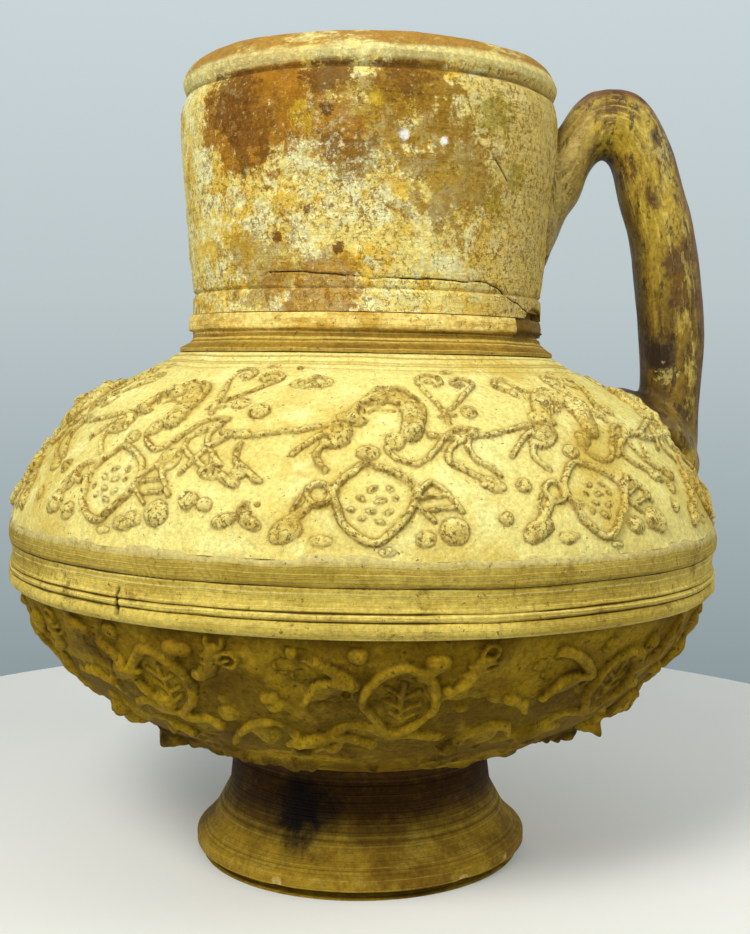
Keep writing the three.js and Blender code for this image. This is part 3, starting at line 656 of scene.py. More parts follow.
def animal(m, d, up):
    """A running animal with a long arched neck: head, reins, fore leg, arch, tail and hind leg."""
    m.rib(shifted([(-0.8, 43.5), (0.3, 48.5), (2.6, 53), (5.2, 54), (7.4, 50.5), (8.4, 45), (7.8, 38.5)], d, up), 7.4, 2.0)
    m.rib(shifted([(-1.6, 44), (-0.4, 50), (2, 56.5), (4.6, 58.8), (7.6, 58), (9.8, 52), (10.2, 45), (9, 38)], d, up), 1.6, 1.9)
    m.rib(shifted([(0.4, 44.6), (2.2, 48.2), (5.2, 47.6)], d, up), 1.4, 0.7, sink=True)
    for a, b, c in ((-1, 49.5, 1.4), (1.2, 54.6, 1.2), (4.4, 56, 1.2), (7.2, 53.2, 1.3), (8.4, 48, 1.4), (8.4, 42.5, 1.4)):
        m.rib(shifted([(a, b), (a + 1.5, b - 3.4)], d, up), 0.9, 2.3)
    m.knob((d - 3.4, up + 38.2), (7.4, 6.4), 1.7, 20)
    m.knob((d - 3, up + 44), (4, 4.6), 1.2)
    m.knob((d - 3.9, up + 39), (1.2, 1.2), 0.3, sink=True)
    m.rib(shifted([(-4.4, 41.4), (-10, 38.8), (-15, 37.2), (-20, 36.4), (-23, 37.5)], d, up), 2.3, 1.0)
    m.rib(shifted([(-5, 39.2), (-8, 35), (-10.5, 30.6)], d, up), 2, 1.0)
    m.rib(shifted([(-5.8, 34.4), (-6.7, 30.4), (-5, 26)], d, up), 2.5, 1.0)
    m.rib(shifted([(-2.4, 35.4), (-4.6, 34), (-5.8, 34.8)], d, up), 3.4, 1.1)
    m.knob((d + 5, up + 35.6), (5.6, 5.6), 1.4)
    m.rib(shifted([(3.6, 33.4), (5, 30.2), (7.6, 28), (9.6, 29.3), (11.4, 33), (13.4, 37), (15.6, 39.8), (18.6, 39.8)], d, up), 2.0, 1.1)
    m.rib(shifted([(18.4, 39.6), (15.8, 36), (13.4, 33), (13, 29), (15, 25.8), (18, 23)], d, up), 2.2, 1.1)
    m.rib(shifted([(17.6, 37.6), (16.4, 34), (17, 30), (19, 26.4), (20.4, 24.4)], d, up), 1.9, 1.0)
    m.knob((d + 18.8, up + 21.6), (8, 4.4), 1.3, -12)


def clubs(m, d, up):
    """Two leafy clubs that lean against a medallion."""
    m.ring((d - 5.6, up + 18.6), (6, 6), 1.9, 1.5)
    m.rib(shifted([(-6.6, 16), (-8, 12.6), (-9.4, 10)], d, up), 3.2, 1.2)
    m.rib(shifted([(-8, 18), (-9, 13)], d, up), 1.3, 1.3)
    m.knob((d - 9.6, up + 7.4), (9.6, 6.6), 1.4, 30)
    m.rib(shifted([(7.2, 15.6), (8.6, 20.4), (10, 22), (12, 18.4), (13.6, 13.6)], d, up), 1.9, 1.4)
    m.rib(shifted([(8.4, 17), (11.6, 18.4)], d, up), 1.5, 1.3)
    m.rib(shifted([(9.4, 13.8), (13, 14.8)], d, up), 1.5, 1.3)
    m.rib(shifted([(7.2, 15.6), (9.8, 11)], d, up), 1.7, 1.3)
    m.knob((d + 12.4, up + 8.4), (8.4, 7.4), 1.5)


def pellets(m, d, up):
    """Drops of clay between the figures."""
    for a, b, length, width, height in ((1, 31.8, 6.4, 4.6, 1.0), (8.5, 6.4, 6, 4.6, 0.8), (19.8, 11.5, 4.6, 4.4, 1.2),
                                        (23.6, 21.6, 5, 5, 1.3), (-5, 5.4, 6.6, 3, 0.6), (3.4, 2.2, 5, 2.4, 0.5)):
        m.knob((d + a, up + b), (length, width), height)


for turn, up in ((0, 0), (33.8, 0.4), (-41.2, 2.2), (70, 0), (105.5, 1), (141, -0.5), (177, 0.6), (212, 0), (247, -0.6), (283, 0.4)):
    for draw in (medallion, palmette, animal, clubs, pellets):
        draw(upper_mould, turn, up)
m = upper_mould
m.ring((31, 62), (7, 7.6), 2, 1)
m.ring((34.6, 57.5), (9, 4.4), 2, 0.9)
m.ring((-9.5, 63), (6.4, 5), 1.8, 0.8)
m.ring((-12.6, 62), (5.6, 4.4), 1.6, 0.7)
m.knob((-18, 46), (6, 6), 1.1)
m.ring((-18, 46), (5, 5), 1.3, 1.3)
m.knob((-30, 27), (7, 8), 1.3)
m.rib([(-27, 23), (-25.6, 28), (-24, 32), (-21, 36.6), (-18.6, 38)], 2.2, 1.1)
m.rib([(-19, 33), (-18.6, 28), (-16.4, 24.4), (-14.4, 21.6)], 2.6, 1.2)
m.rib([(-23, 30), (-22, 26), (-20, 23), (-17.6, 20)], 2.8, 1.2)
m.knob((-24, 14.5), (6, 6), 1.2)
m.ring((-24, 14.5), (4.6, 4.6), 1.2, 1.5)
m.ring((-15.3, 12.6), (3.4, 3.4), 1.3, 1.2)
m.knob((-18.2, 9.5), (8, 4), 1.1, 15)
m.knob((-14.4, 9), (7, 4), 1.1, -15)
m.knob((-13.7, 14.2), (1.8, 1.3), 1.2, sink=True)
m.knob((-15, 72), (2.6, 1.6), 1.4, sink=True)
m.knob((31.4, 38.6), (8, 7), 1.8)
for k in range(5):
    m.rib([(33.2 + k * 1.1, 43.5 + k), (34.6 + k * 1.1, 48.5 + k * 0.6)], 1.1, 1.3)
for a, b, length, width, height in ((28.5, 5.5, 6, 3.6, 0.8), (41.5, 8, 6, 4.6, 1.3), (47.6, 8, 6.4, 7, 1.5), (59.5, 10, 5, 5, 1.3),
                                    (61.5, 13.6, 4, 4, 1), (55.5, 18, 5, 4, 1), (-46.5, 8, 6, 6, 1.3), (-34.5, 6.5, 8, 4.4, 0.8)):
    m.knob((a, b), (length, width), height)
m.rib([(45, 30), (50, 36), (53, 38), (55, 36), (60, 35), (69, 35)], 2.4, 1.3)
m.rib([(54, 33), (53.5, 28), (55, 24), (57, 21)], 2.4, 1.2)
upper_soft = upper_mould.softened(0.4)
upper_wide = upper_mould.softened(2.4)
upper_feet = upper_mould.feet()

shoulder_inside = [(HOLLOW, BAND_TOP), (104, 128), (96, 140), (84, 151), (68, 160), (60, 164), (55, 166.4)]
upper_half, path, along, starts = spun("upper_half", [
    ([(HOLLOW, SEAM + 0.15), (BAND_SEAT, SEAM + 0.15)], 7), ([(BAND_SEAT, SEAM + 0.15), (BAND_SEAT, BAND_TOP)], 6),
    ([(BAND_SEAT, BAND_TOP), (BODY_RADIUS, BAND_TOP)], 4), (shoulder, 3.6), ([(RIM_RADIUS, SHOULDER), (55, SHOULDER)], 9),
    ([(55, SHOULDER), (55, 166.4)], 6), (shoulder_inside[::-1], 40)], 208, 7)
shoulder_from = starts[3]
shoulder_length = upper_mould.way[-1]


def upper_skin(degrees, rise, seat):
    way = rise - shoulder_from
    outside = np.clip(way / 1.5, 0, 1) * np.clip((shoulder_length - way) / 2, 0, 1) * (way >= 0) * (way <= shoulder_length)
    sway = 0.6 * lumps(seat, (11, 11, 11), 21) + 0.4 * lumps(seat, (3.6, 3.6, 3.6), 29)
    place = degrees + 0.52 * sway * 110 / np.maximum(np.hypot(seat[:, 0], seat[:, 1]), 50)
    climb = way + 0.5 * lumps(seat, (9, 9, 9), 22) + 0.35 * lumps(seat, (3.2, 3.2, 3.2), 30)
    wide = upper_mould.read(upper_wide, place, climb)
    relief = 0.75 * upper_mould.read(upper_soft, place, climb) + 0.5 * wide
    feet = upper_mould.read(upper_feet, place, climb)
    relief *= 0.9 + 0.3 * lumps(seat, (2.6, 2.6, 2.6), 23) + 0.3 * lumps(seat, (9, 9, 9), 20)
    lump = 0.45 * lumps(seat, (26, 26, 26), 24) + 0.16 * lumps(seat, (7, 7, 7), 25) + 0.05 * lumps(seat, (2.4, 2.4, 2.4), 26)
    rings = np.clip((way - 69) / 2, 0, 1) * (0.42 * lumps(np.stack([degrees * 0.4, degrees * 0, way], 1), (40, 40, 2.3), 27)
                                             + 0.2 * lumps(np.stack([degrees, degrees * 0, way], 1), (30, 30, 1.1), 28))
    return outside * (relief + lump + rings - 0.3 * feet), 0 * rise, {
        "relief": np.clip(np.abs(relief) / 1.1, 0, 1) * outside,
        "feet": feet * outside,
        "shade_beside_relief": np.clip((wide - relief + 0.1 * wide) / 0.3, 0, 1) * outside,
        "turned": way * MM}


shaped(upper_half, path, along, upper_skin)
thinned(upper_half, 190000)
upper_clay, tree, shader = clay("pale_moulded_clay", 0.72)
colour = over(tree, (0.86, 0.76, 0.25, 1), (0.72, 0.55, 0.12, 1), share_of(tree, speckle(tree, 34, 5, 0.6), 0.45, 0.66))
colour = over(tree, colour, (0.96, 0.93, 0.4, 1), times(tree, share_of(tree, speckle(tree, 12, 5, seed=11), 0.5, 0.66), 0.6))
worn = times(tree, share_of(tree, mark(tree, "relief"), 0.15, 0.7), share_of(tree, speckle(tree, 2.2, 6, 0.8, seed=12), 0.38, 0.56))
colour = over(tree, colour, (0.6, 0.42, 0.08, 1), times(tree, worn, 0.45))
browned = times(tree, worn, share_of(tree, speckle(tree, 16, 5, 0.7, seed=17), 0.5, 0.6))
colour = over(tree, colour, (0.33, 0.2, 0.025, 1), times(tree, browned, 0.65))
stipple = times(tree, share_of(tree, mark(tree, "relief"), 0.1, 0.5), share_of(tree, speckle(tree, 1.3, 4, 0.8, seed=20), 0.52, 0.58))
colour = over(tree, colour, (0.16, 0.085, 0.01, 1), times(tree, stipple, 0.85))
# Painted shade: the ground beside the relief is painted brown.
colour = over(tree, colour, (0.5, 0.33, 0.05, 1), times(tree, mark(tree, "shade_beside_relief"), 0.5))
outlined = times(tree, mark(tree, "feet"), share_of(tree, speckle(tree, 7, 5, 0.7, seed=18), 0.3, 0.5))
colour = over(tree, colour, (0.22, 0.115, 0.012, 1), times(tree, outlined, 0.9))
pits = share_of(tree, speckle(tree, 1.5, 4, 0.75, seed=13), 0.62, 0.68)
colour = over(tree, colour, (0.14, 0.07, 0.01, 1), times(tree, pits, 0.85))
rings = times(tree, share_of(tree, mark(tree, "turned"), 0.066, 0.072), share_of(tree, wheel_lines(tree, 2.2, 14), 0.46, 0.7))
colour = over(tree, colour, (0.42, 0.26, 0.04, 1), times(tree, rings, 0.8))
tree.links.new(grained(tree, colour, 1.3, 0.3, 19), shader.inputs["Base Color"])
rough_skin(tree, shader, [(speckle(tree, 3, 6, 0.7, seed=15), 0.7), (speckle(tree, 0.8, 4, 0.7, seed=16), 0.3)])
fitted(upper_half, upper_clay, "upper_clay", "upper_body")

# Girth band: a strip of wet clay laid over the seam and turned on the wheel into a flat fillet and three rolls.
# Its edges are ragged where the slip squeezed out, and a finger's ridges and one slit are left in it.
BELLY_RADIUS = 120.5
band_bottom = BAND_BOTTOM + 0.3
band_height = 20.7
band_curve = smooth_line([(BELLY_RADIUS - depth, band_bottom + band_height * share) for depth, share in (
    (1.7, 0), (0.3, 0.06), (0, 0.13), (0.4, 0.2), (1, 0.226), (0.3, 0.255), (0.2, 0.3), (1, 0.338), (0.5, 0.365),
    (1.1, 0.42), (1.2, 0.55), (0.9, 0.63), (1.3, 0.665), (0.3, 0.7), (0.1, 0.8), (0.4, 0.94), (1.5, 1))], count=10)
band, path, along, starts = spun("band", [
    ([(BAND_SEAT + 0.3, band_bottom), band_curve[0]], 3), (band_curve, 2.6),
    ([band_curve[-1], (BAND_SEAT + 0.3, band_bottom + band_height)], 3)], 168, 7)
band_from, band_to = starts[1], starts[2]


def band_skin(degrees, rise, seat):
    outside = np.clip((rise - band_from) / 0.6, 0, 1) * np.clip((band_to - rise) / 0.6, 0, 1)
    ring = np.stack([np.cos(np.radians(degrees)) * 60, np.sin(np.radians(degrees)) * 60, seat[:, 2]], 1)
    drag = 0.1 * lumps(ring, (16, 16, 1.3), 31) + 0.06 * lumps(ring, (8, 8, 0.8), 32)
    lump = 0.3 * lumps(seat, (22, 22, 12), 33) + 0.12 * lumps(seat, (6, 6, 5), 34)
    level = (seat[:, 2] - band_bottom) / band_height
    print_ridges = np.sin(seat[:, 0] * 3.1 + seat[:, 2] * 2 + 2 * lumps(seat, (6, 6, 6), 35)) * 0.28
    printed = np.clip(1 - np.hypot((degrees + 29) / 5, (level - 0.72) / 0.2), 0, 1) + np.clip(1 - np.hypot((degrees + 20) / 4, (level - 0.78) / 0.12), 0, 1)
    slit = np.clip(1 - np.abs(degrees + 34.2 + 0.35 * lumps(seat, (3, 3, 3), 36)) / 0.3, 0, 1) * np.clip((seat[:, 2] - 97.5) / 1, 0, 1) * np.clip((107 - seat[:, 2]) / 1.5, 0, 1)
    edge = np.clip((level - 0.88) / 0.12, 0, 1) * (0.7 + 0.8 * lumps(ring, (5, 5, 30), 37) + 0.5 * lumps(ring, (2, 2, 30), 38))
    waver = 0.35 * lumps(ring, (14, 14, 60), 39) + 0.15 * lumps(ring, (5, 5, 60), 40)
    return outside * (drag + lump + printed * print_ridges) - 2.6 * slit, waver * outside + 1.5 * edge, {
        "slit": slit, "level": level, "slip": np.clip((level - 0.9) / 0.06, 0, 1)}


shaped(band, path, along, band_skin)
thinned(band, 150000)
band_clay, tree, shader = clay("turned_band_clay", 0.66)
ring = node(tree, "Math", {0: mark(tree, "level"), 1: times(tree, speckle(tree, 30, 2, seed=21), 0.08)}, operation="ADD").outputs[0]
streaks = node(tree, "TexNoise", {"W": ring, "Scale": 22, "Detail": 4, "Roughness": 0.7}, noise_dimensions="1D").outputs[0]
colour = over(tree, (0.74, 0.57, 0.11, 1), (0.48, 0.34, 0.04, 1), share_of(tree, speckle(tree, 20, 5, stretch=(3, 3, 1)), 0.42, 0.62))
colour = over(tree, colour, (0.93, 0.8, 0.28, 1), times(tree, share_of(tree, streaks, 0.5, 0.66), 0.6))
colour = over(tree, colour, (0.93, 0.86, 0.42, 1), times(tree, mark(tree, "slip"), 0.85))
colour = over(tree, colour, (0.24, 0.15, 0.015, 1), times(tree, share_of(tree, speckle(tree, 9, 6, 0.75, seed=24), 0.54, 0.66), 0.7))
colour = over(tree, colour, (0.34, 0.24, 0.025, 1), times(tree, share_of(tree, mark(tree, "level"), 0.66, 0.7), 0.5))
for groove in (0.226, 0.338, 0.665):
    near = node(tree, "Math", {0: mark(tree, "level"), 1: groove}, operation="SUBTRACT").outputs[0]
    near = node(tree, "Math", {0: near}, operation="ABSOLUTE").outputs[0]
    near = plus(tree, near, times(tree, speckle(tree, 5, 5, 0.7, (3, 3, 1), seed=26), 0.012))
    colour = over(tree, colour, (0.06, 0.03, 0.004, 1), times(tree, share_of(tree, near, 0.019, 0.008), 0.9))
colour = over(tree, colour, (0.12, 0.065, 0.01, 1), times(tree, share_of(tree, speckle(tree, 2, 5, 0.7, seed=22), 0.6, 0.68), 0.75))
colour = over(tree, colour, (0.02, 0.01, 0.003, 1), mark(tree, "slit"))
tree.links.new(grained(tree, colour, 1.5, 0.35, 25), shader.inputs["Base Color"])
rough_skin(tree, shader, [(streaks, 0.45), (speckle(tree, 1.2, 5, 0.7, seed=23), 0.4)])
fitted(band, band_clay, "band_clay", "girth_band")

# Collar: a coil luted round the foot of the neck and turned to a sloping ledge with a bead above it.
# Smoke and handling have browned it, most of all where a chip of the neck above is gone.
NECK_WAIST = 60
collar_bottom = SHOULDER + 0.3
collar_curve = smooth_line([(NECK_WAIST + 4.2 * spread, collar_bottom + 12.1 * share) for spread, share in (
    (1, 0.0), (1, 0.1), (0.57, 0.2), (0.07, 0.36), (0.02, 0.56), (0.3, 0.6), (0.34, 0.8), (0.2, 1))], count=10)
collar, path, along, starts = spun("collar", [
    ([(57.5, collar_bottom), (64.2, collar_bottom)], 4), (collar_curve, 3.2), ([collar_curve[-1], (57.5, collar_bottom + 12.1)], 3)], 96, 7)


def collar_skin(degrees, rise, seat):
    ring = np.stack([np.cos(np.radians(degrees)) * 40, np.sin(np.radians(degrees)) * 40, seat[:, 2]], 1)
    outside = np.clip((np.hypot(seat[:, 0], seat[:, 1]) - 59) / 1, 0, 1) * np.clip((seat[:, 2] - collar_bottom) / 0.8, 0, 1)
    drag = 0.25 * lumps(ring, (12, 12, 1.4), 41) + 0.12 * lumps(ring, (5, 5, 0.9), 42) + 0.2 * lumps(seat, (9, 9, 5), 43)
    gone = np.clip((seat[:, 2] - 178.2 + 0.8 * lumps(ring, (5, 5, 30), 44)) / 0.8, 0, 1) * (degrees > 52) * (degrees < 95)
    return outside * (drag - 1.2 * gone), 0 * rise, {"turned": rise * MM, "gone": gone}


shaped(collar, path, along, collar_skin)
thinned(collar, 60000)
collar_clay, tree, shader = clay("browned_collar_clay", 0.7)
lines = wheel_lines(tree, 1.8, 31)
colour = over(tree, (0.34, 0.205, 0.022, 1), (0.2, 0.105, 0.01, 1), share_of(tree, speckle(tree, 14, 6, stretch=(2, 2, 1)), 0.42, 0.62))
colour = over(tree, colour, (0.85, 0.65, 0.15, 1), times(tree, share_of(tree, lines, 0.5, 0.62), 0.65))
bead = share_of(tree, node(tree, "SeparateXYZ", {"Vector": node(tree, "TexCoord").outputs["Object"]}).outputs["Z"], 0.1785, 0.1805)
colour = over(tree, colour, (0.62, 0.38, 0.045, 1), times(tree, bead, 0.85))
colour = over(tree, colour, (0.95, 0.76, 0.24, 1), times(tree, bead, share_of(tree, speckle(tree, 7, 7, 0.75, (3, 3, 1), seed=32), 0.4, 0.6)))
colour = over(tree, colour, (0.08, 0.04, 0.008, 1), times(tree, share_of(tree, speckle(tree, 2, 5, 0.7, seed=33), 0.6, 0.68), 0.8))
colour = over(tree, colour, (0.14, 0.08, 0.012, 1), times(tree, mark(tree, "gone"), 0.85))
tree.links.new(grained(tree, colour, 1.5, 0.4, 35), shader.inputs["Base Color"])
rough_skin(tree, shader, [(lines, 0.4), (speckle(tree, 1.3, 5, 0.7, seed=34), 0.4)])
fitted(collar, collar_clay, "collar_clay", "neck_collar")

# Neck: thrown as a wide cylinder, turned thin, set by its tenon in the body's mouth and given a rounded lip.
# Rust-brown stains run down from the lip, lime and pits mottle its face, and a crack runs round its foot.
NECK_SWELL = 64.4
SWELL = FOOT_HEIGHT + 209.4
COLLAR_TOP = FOOT_HEIGHT + 146.1
GROOVE = FOOT_HEIGHT + 153.1
LIP = FOOT_HEIGHT + 230
neck_side = smooth_line([(60, GROOVE + 1), (62.2, (GROOVE + SWELL) / 2), (NECK_SWELL, SWELL), (NECK_SWELL - 2.3, LIP - 10.6)], count=30)
lip_curve = smooth_line([(NECK_SWELL - 1.3 - 7 * inwards, LIP - 10.6 * (1 - share)) for inwards, share in (
    (0.07, 0.1), (-0.05, 0.4), (0.25, 0.76), (0.75, 1), (1, 0.86))], count=20)
slope = np.gradient(neck_side, axis=0)
slope /= np.hypot(*slope.T)[:, None]
neck_inside = np.stack([neck_side[:, 0] - slope[:, 1] * 6.5, neck_side[:, 1] + slope[:, 0] * 6.5], 1)
neck, path, along, starts = spun("neck", [
    ([(51, 164.4), (54.7, 164.4)], 4), ([(54.7, 164.4), (54.7, 172.7)], 4), ([(54.7, 172.7), (57.2, 172.7), (57.2, COLLAR_TOP)], 4),
    ([(57.2, COLLAR_TOP), (60, COLLAR_TOP)], 3), ([(60, COLLAR_TOP), (60, GROOVE - 1), (59, GROOVE)], 3.6),
    (np.vstack([[(59, GROOVE)], neck_side]), 3.2), (np.vstack([neck_side[-1:], lip_curve]), 4),
    (np.vstack([lip_curve[-1:], neck_inside[::-1], [(51, 164.4)]]), 25)], 128, 7)
neck_from, lip_from, lip_to = starts[4], starts[6], starts[7]


def neck_skin(degrees, rise, seat):
    outside = np.clip((rise - neck_from) / 1, 0, 1) * np.clip((lip_to + 4 - rise) / 4, 0, 1)
    ring = np.stack([np.cos(np.radians(degrees)) * 40, np.sin(np.radians(degrees)) * 40, seat[:, 2]], 1)
    wheel = 0.16 * lumps(ring, (30, 30, 2.6), 51) + 0.1 * lumps(ring, (14, 14, 1.3), 52) + 0.35 * lumps(ring, (60, 60, 14), 53)
    lump = 0.3 * lumps(seat, (20, 20, 20), 54) + 0.12 * lumps(seat, (5, 5, 5), 55)
    z = seat[:, 2]
    crack_z = np.interp(degrees, (-48, -30, -18, 0, 20, 39, 63), (193, 197, 197, 195.2, 195.4, 195.2, 186))
    crack_z = crack_z + 0.5 * lumps(ring, (3, 3, 200), 56) + 0.3 * lumps(ring, (1.4, 1.4, 200), 57)
    split = np.clip(1 - np.abs(z - crack_z) / 0.5, 0, 1) * (degrees > -30) * (degrees < 64)
    beside = np.where((degrees > -30) & (degrees < 66), z - crack_z, 9)
    torn = 188.5 - 4 * np.clip(np.abs(degrees - 72) / 16, 0, 1) ** 3 * 2 + 1.2 * lumps(ring, (4, 4, 200), 59)
    gone = np.clip((torn - z) / 0.8, 0, 1) * (degrees > 52) * (degrees < 95)
    across, up = (degrees - 38) * 1.11, z - 232.6
    t = np.clip((across * 6.2 - up * 5.8) / 72, 0, 1)
    scratch = np.clip(1 - np.hypot(across - t * 6.2, up + t * 5.8) / 0.45, 0, 1)
    # The groove under the lip roll, which the material paints dark as a painted shadow.
    under = np.clip(1 - np.abs(z - LIP + 11.2 - 0.3 * lumps(ring, (12, 12, 200), 60)) / 0.9, 0, 1) * (rise < lip_from + 3)
    return outside * (wheel + lump - 0.7 * under) - 0.7 * split - 2.2 * gone - 0.7 * scratch, 0 * rise, {
        "under": under, "beside": np.clip(beside, -9, 9) * MM,
        "turned": rise * MM, "split": scratch, "gone": gone}


shaped(neck, path, along, neck_skin)
thinned(neck, 190000)
neck_clay, tree, shader = clay("stained_neck_clay", 0.7)
place = node(tree, "TexCoord").outputs["Object"]
parts = node(tree, "SeparateXYZ", {"Vector": place}).outputs


def patch(tree, centre, reach, seed, size=16, ragged=1.1, soft=0.45):
    """A ragged stain round a place, 1 in its middle and 0 outside its reach in millimetres."""
    away = node(tree, "VectorMath", {0: node(tree, "TexCoord").outputs["Object"], 1: tuple(c * MM for c in centre)}, operation="DISTANCE")
    uneven = node(tree, "Math", {0: speckle(tree, size, 7, 0.75, seed=seed), 1: 0.5}, operation="SUBTRACT").outputs[0]
    return share_of(tree, plus(tree, away.outputs["Value"], times(tree, uneven, ragged * 2 * reach * MM)), reach * MM, reach * MM * (1 - soft))


def veined(tree, size, seed, width):
    """Thin crooked lines, as lime and dirt leave in the pores, about that many millimetres apart."""
    off = node(tree, "Math", {0: speckle(tree, size, 3, 0.6, seed=seed), 1: 0.5}, operation="SUBTRACT").outputs[0]
    return share_of(tree, node(tree, "Math", {0: off}, operation="ABSOLUTE").outputs[0], width, width * 0.3)


lines = wheel_lines(tree, 2.4, 41)
colour = over(tree, (0.97, 0.83, 0.26, 1), (0.86, 0.6, 0.09, 1), share_of(tree, speckle(tree, 20, 7, 0.7, seed=41), 0.47, 0.57))
colour = over(tree, colour, (0.97, 0.96, 0.52, 1), times(tree, share_of(tree, speckle(tree, 8, 8, 0.78, seed=42), 0.49, 0.55), 0.9))
colour = over(tree, colour, (0.72, 0.4, 0.03, 1), times(tree, share_of(tree, speckle(tree, 4.5, 8, 0.82, seed=58), 0.55, 0.6), 0.8))
# Painted shade: the right side of the neck is painted a darker tan.
shaded_right = share_of(tree, plus(tree, parts["X"], times(tree, speckle(tree, 25, 4, seed=43), 0.02)), 0.03, 0.062)
colour = over(tree, colour, (0.74, 0.55, 0.14, 1), times(tree, shaded_right, 0.75))
rust, burnt, brown = (0.42, 0.18, 0.01, 1), (0.15, 0.05, 0.004, 1), (0.36, 0.2, 0.015, 1)
olive, gold = (0.36, 0.29, 0.02, 1), (0.7, 0.48, 0.02, 1)
stains = (((-33, -53, 247), 17, rust, 0.95, 44, 9), ((-39, -48, 251), 9, burnt, 0.8, 60, 6),
          ((-31, -54, 241), 10, burnt, 0.7, 61, 6), ((-20, -59, 250), 10, rust, 0.7, 62, 7),
          ((-8, -62, 255), 7, burnt, 0.9, 63, 5), ((18, -62, 252), 11, brown, 0.95, 45, 7),
          ((13, -62, 254), 7, burnt, 0.7, 64, 5), ((1, -64, 240), 12, brown, 0.7, 65, 7),
          ((-10, -62, 239), 9, rust, 0.7, 66, 6), ((24, -60, 240), 9, brown, 0.75, 67, 6),
          ((29, -57, 224), 13, brown, 0.75, 46, 8), ((-3, -63, 233), 7, burnt, 0.6, 68, 5),
          ((-30, -51, 199), 12, brown, 0.6, 69, 8), ((-13, -58, 190), 12, rust, 0.7, 47, 8),
          ((-24, -55, 208), 1.7, burnt, 0.9, 70, 2), ((-15, -59, 216), 1.3, burnt, 0.9, 71, 2),
          ((-6, -60, 204), 1.5, burnt, 0.9, 72, 2), ((-9, -63, 245), 1.7, burnt, 0.9, 73, 2),
          ((42, -51, 245), 6, olive, 0.75, 49, 3), ((43, -48, 219), 4, olive, 0.7, 74, 3),
          ((49, -43, 228), 4, olive, 0.65, 75, 3), ((-16, -61, 243), 4, gold, 0.6, 76, 3),
          ((5, -64, 248), 2.4, gold, 0.6, 77, 3))
for centre, reach, tint, strength, seed, size in stains:
    spread = times(tree, patch(tree, centre, reach * 1.25, seed, size, 2.2, 0.3), strength)
    colour = over(tree, colour, tint, times(tree, spread, share_of(tree, speckle(tree, 2.6, 7, 0.85, seed=84), 0.33, 0.45)))
limed = patch(tree, (-8, -61, 223), 24, 59, 14, 1.6, 0.8)
whitened = times(tree, limed, share_of(tree, speckle(tree, 2.6, 6, 0.8, seed=78), 0.51, 0.56))
colour = over(tree, colour, (0.97, 0.96, 0.58, 1), times(tree, whitened, 0.8))
colour = over(tree, colour, (0.2, 0.13, 0.03, 1), times(tree, limed, times(tree, veined(tree, 2.6, 79, 0.022), 0.7)))
colour = over(tree, colour, (0.22, 0.11, 0.012, 1), times(tree, veined(tree, 7, 80, 0.012), 0.6))
mottle = times(tree, share_of(tree, speckle(tree, 1.6, 5, 0.8, seed=51), 0.52, 0.58), share_of(tree, speckle(tree, 22, 4, seed=52), 0.38, 0.56))
colour = over(tree, colour, (0.3, 0.15, 0.012, 1), times(tree, mottle, 0.85))
ring_z = plus(tree, parts["Z"], times(tree, speckle(tree, 9, 5, 0.7, (4, 4, 1), seed=81), 0.004))
rim = share_of(tree, ring_z, (LIP - 4.4) * MM, (LIP - 2.4) * MM)
streaked = share_of(tree, speckle(tree, 6, 7, 0.8, (3, 3, 1), seed=82), 0.36, 0.5)
# Painted highlight: the lip roll, from about eight millimetres under its top, is painted pale cream.
colour = over(tree, colour, (0.97, 0.88, 0.36, 1), times(tree, share_of(tree, ring_z, (LIP - 8) * MM, (LIP - 6.5) * MM), 0.6))
colour = over(tree, colour, (0.42, 0.2, 0.014, 1), times(tree, rim, times(tree, streaked, 0.9)))
# Painted shadow: the groove under the lip roll is painted dark.
colour = over(tree, colour, (0.1, 0.045, 0.006, 1), times(tree, mark(tree, "under"), 0.85))
colour = over(tree, colour, (0.98, 0.98, 0.9, 1), patch(tree, (14, -63, 237), 2.1, 53, 3, 0.7))
colour = over(tree, colour, (0.98, 0.97, 0.85, 1), patch(tree, (26, -59, 236), 1.7, 54, 3, 1.2))
colour = over(tree, colour, (0.3, 0.18, 0.03, 1), times(tree, mark(tree, "gone"), 0.9))
away = node(tree, "Math", {0: mark(tree, "beside")}, operation="ABSOLUTE").outputs[0]
crack = times(tree, share_of(tree, away, 0.00035, 0.0001), share_of(tree, speckle(tree, 6, 4, seed=83), 0.38, 0.5))
colour = over(tree, colour, (0.04, 0.02, 0.006, 1), plus(tree, crack, mark(tree, "split")))
colour = grained(tree, colour, 4, 0.22, 85)
tree.links.new(grained(tree, colour, 1.2, 0.28, 57), shader.inputs["Base Color"])
rough_skin(tree, shader, [(lines, 0.3), (speckle(tree, 2, 6, 0.75, seed=55), 0.8), (speckle(tree, 0.8, 3, seed=56), 0.25)])
fitted(neck, neck_clay, "neck_clay", "neck")

# Handle: a rod of clay pulled by wet hands, luted high on the neck, arched over and pressed on the shoulder.
# Clay smoothed out round both its ends makes one body with it. Years of hands have browned and polished it; painted
# highlights lie on its middle and front, and painted shade on its edges.
ROD_HALF = 12.5
stations = [((61, 238), (61, 200)), ((64, 245), (66, 208)), ((68.1, 250.1), (71.1, 219.4)), ((72.5, 257), (75.6, 226.2)),
            ((76, 260.6), (78.6, 234)), ((80.3, 262.9), (81.2, 238)), ((87.5, 263.6), (84, 240)), ((95.5, 261.6), (86, 238.5)),
            ((101.5, 255), (87.4, 235.5)), ((107.5, 243.3), (88.6, 230)), ((112.2, 229.6), (90.4, 222)), ((115.9, 215.9), (93.4, 212)),
            ((118.3, 199), (95.4, 199)), ((119.5, 184), (97, 183)), ((119.1, 169), (98, 169)), ((118.3, 154), (97.9, 154)),
            ((118.2, 142), (97.5, 142)), ((117.5, 129), (102, 131))]
outer, inner = (smooth_line([pair[k] for pair in stations], count=5) for k in (0, 1))
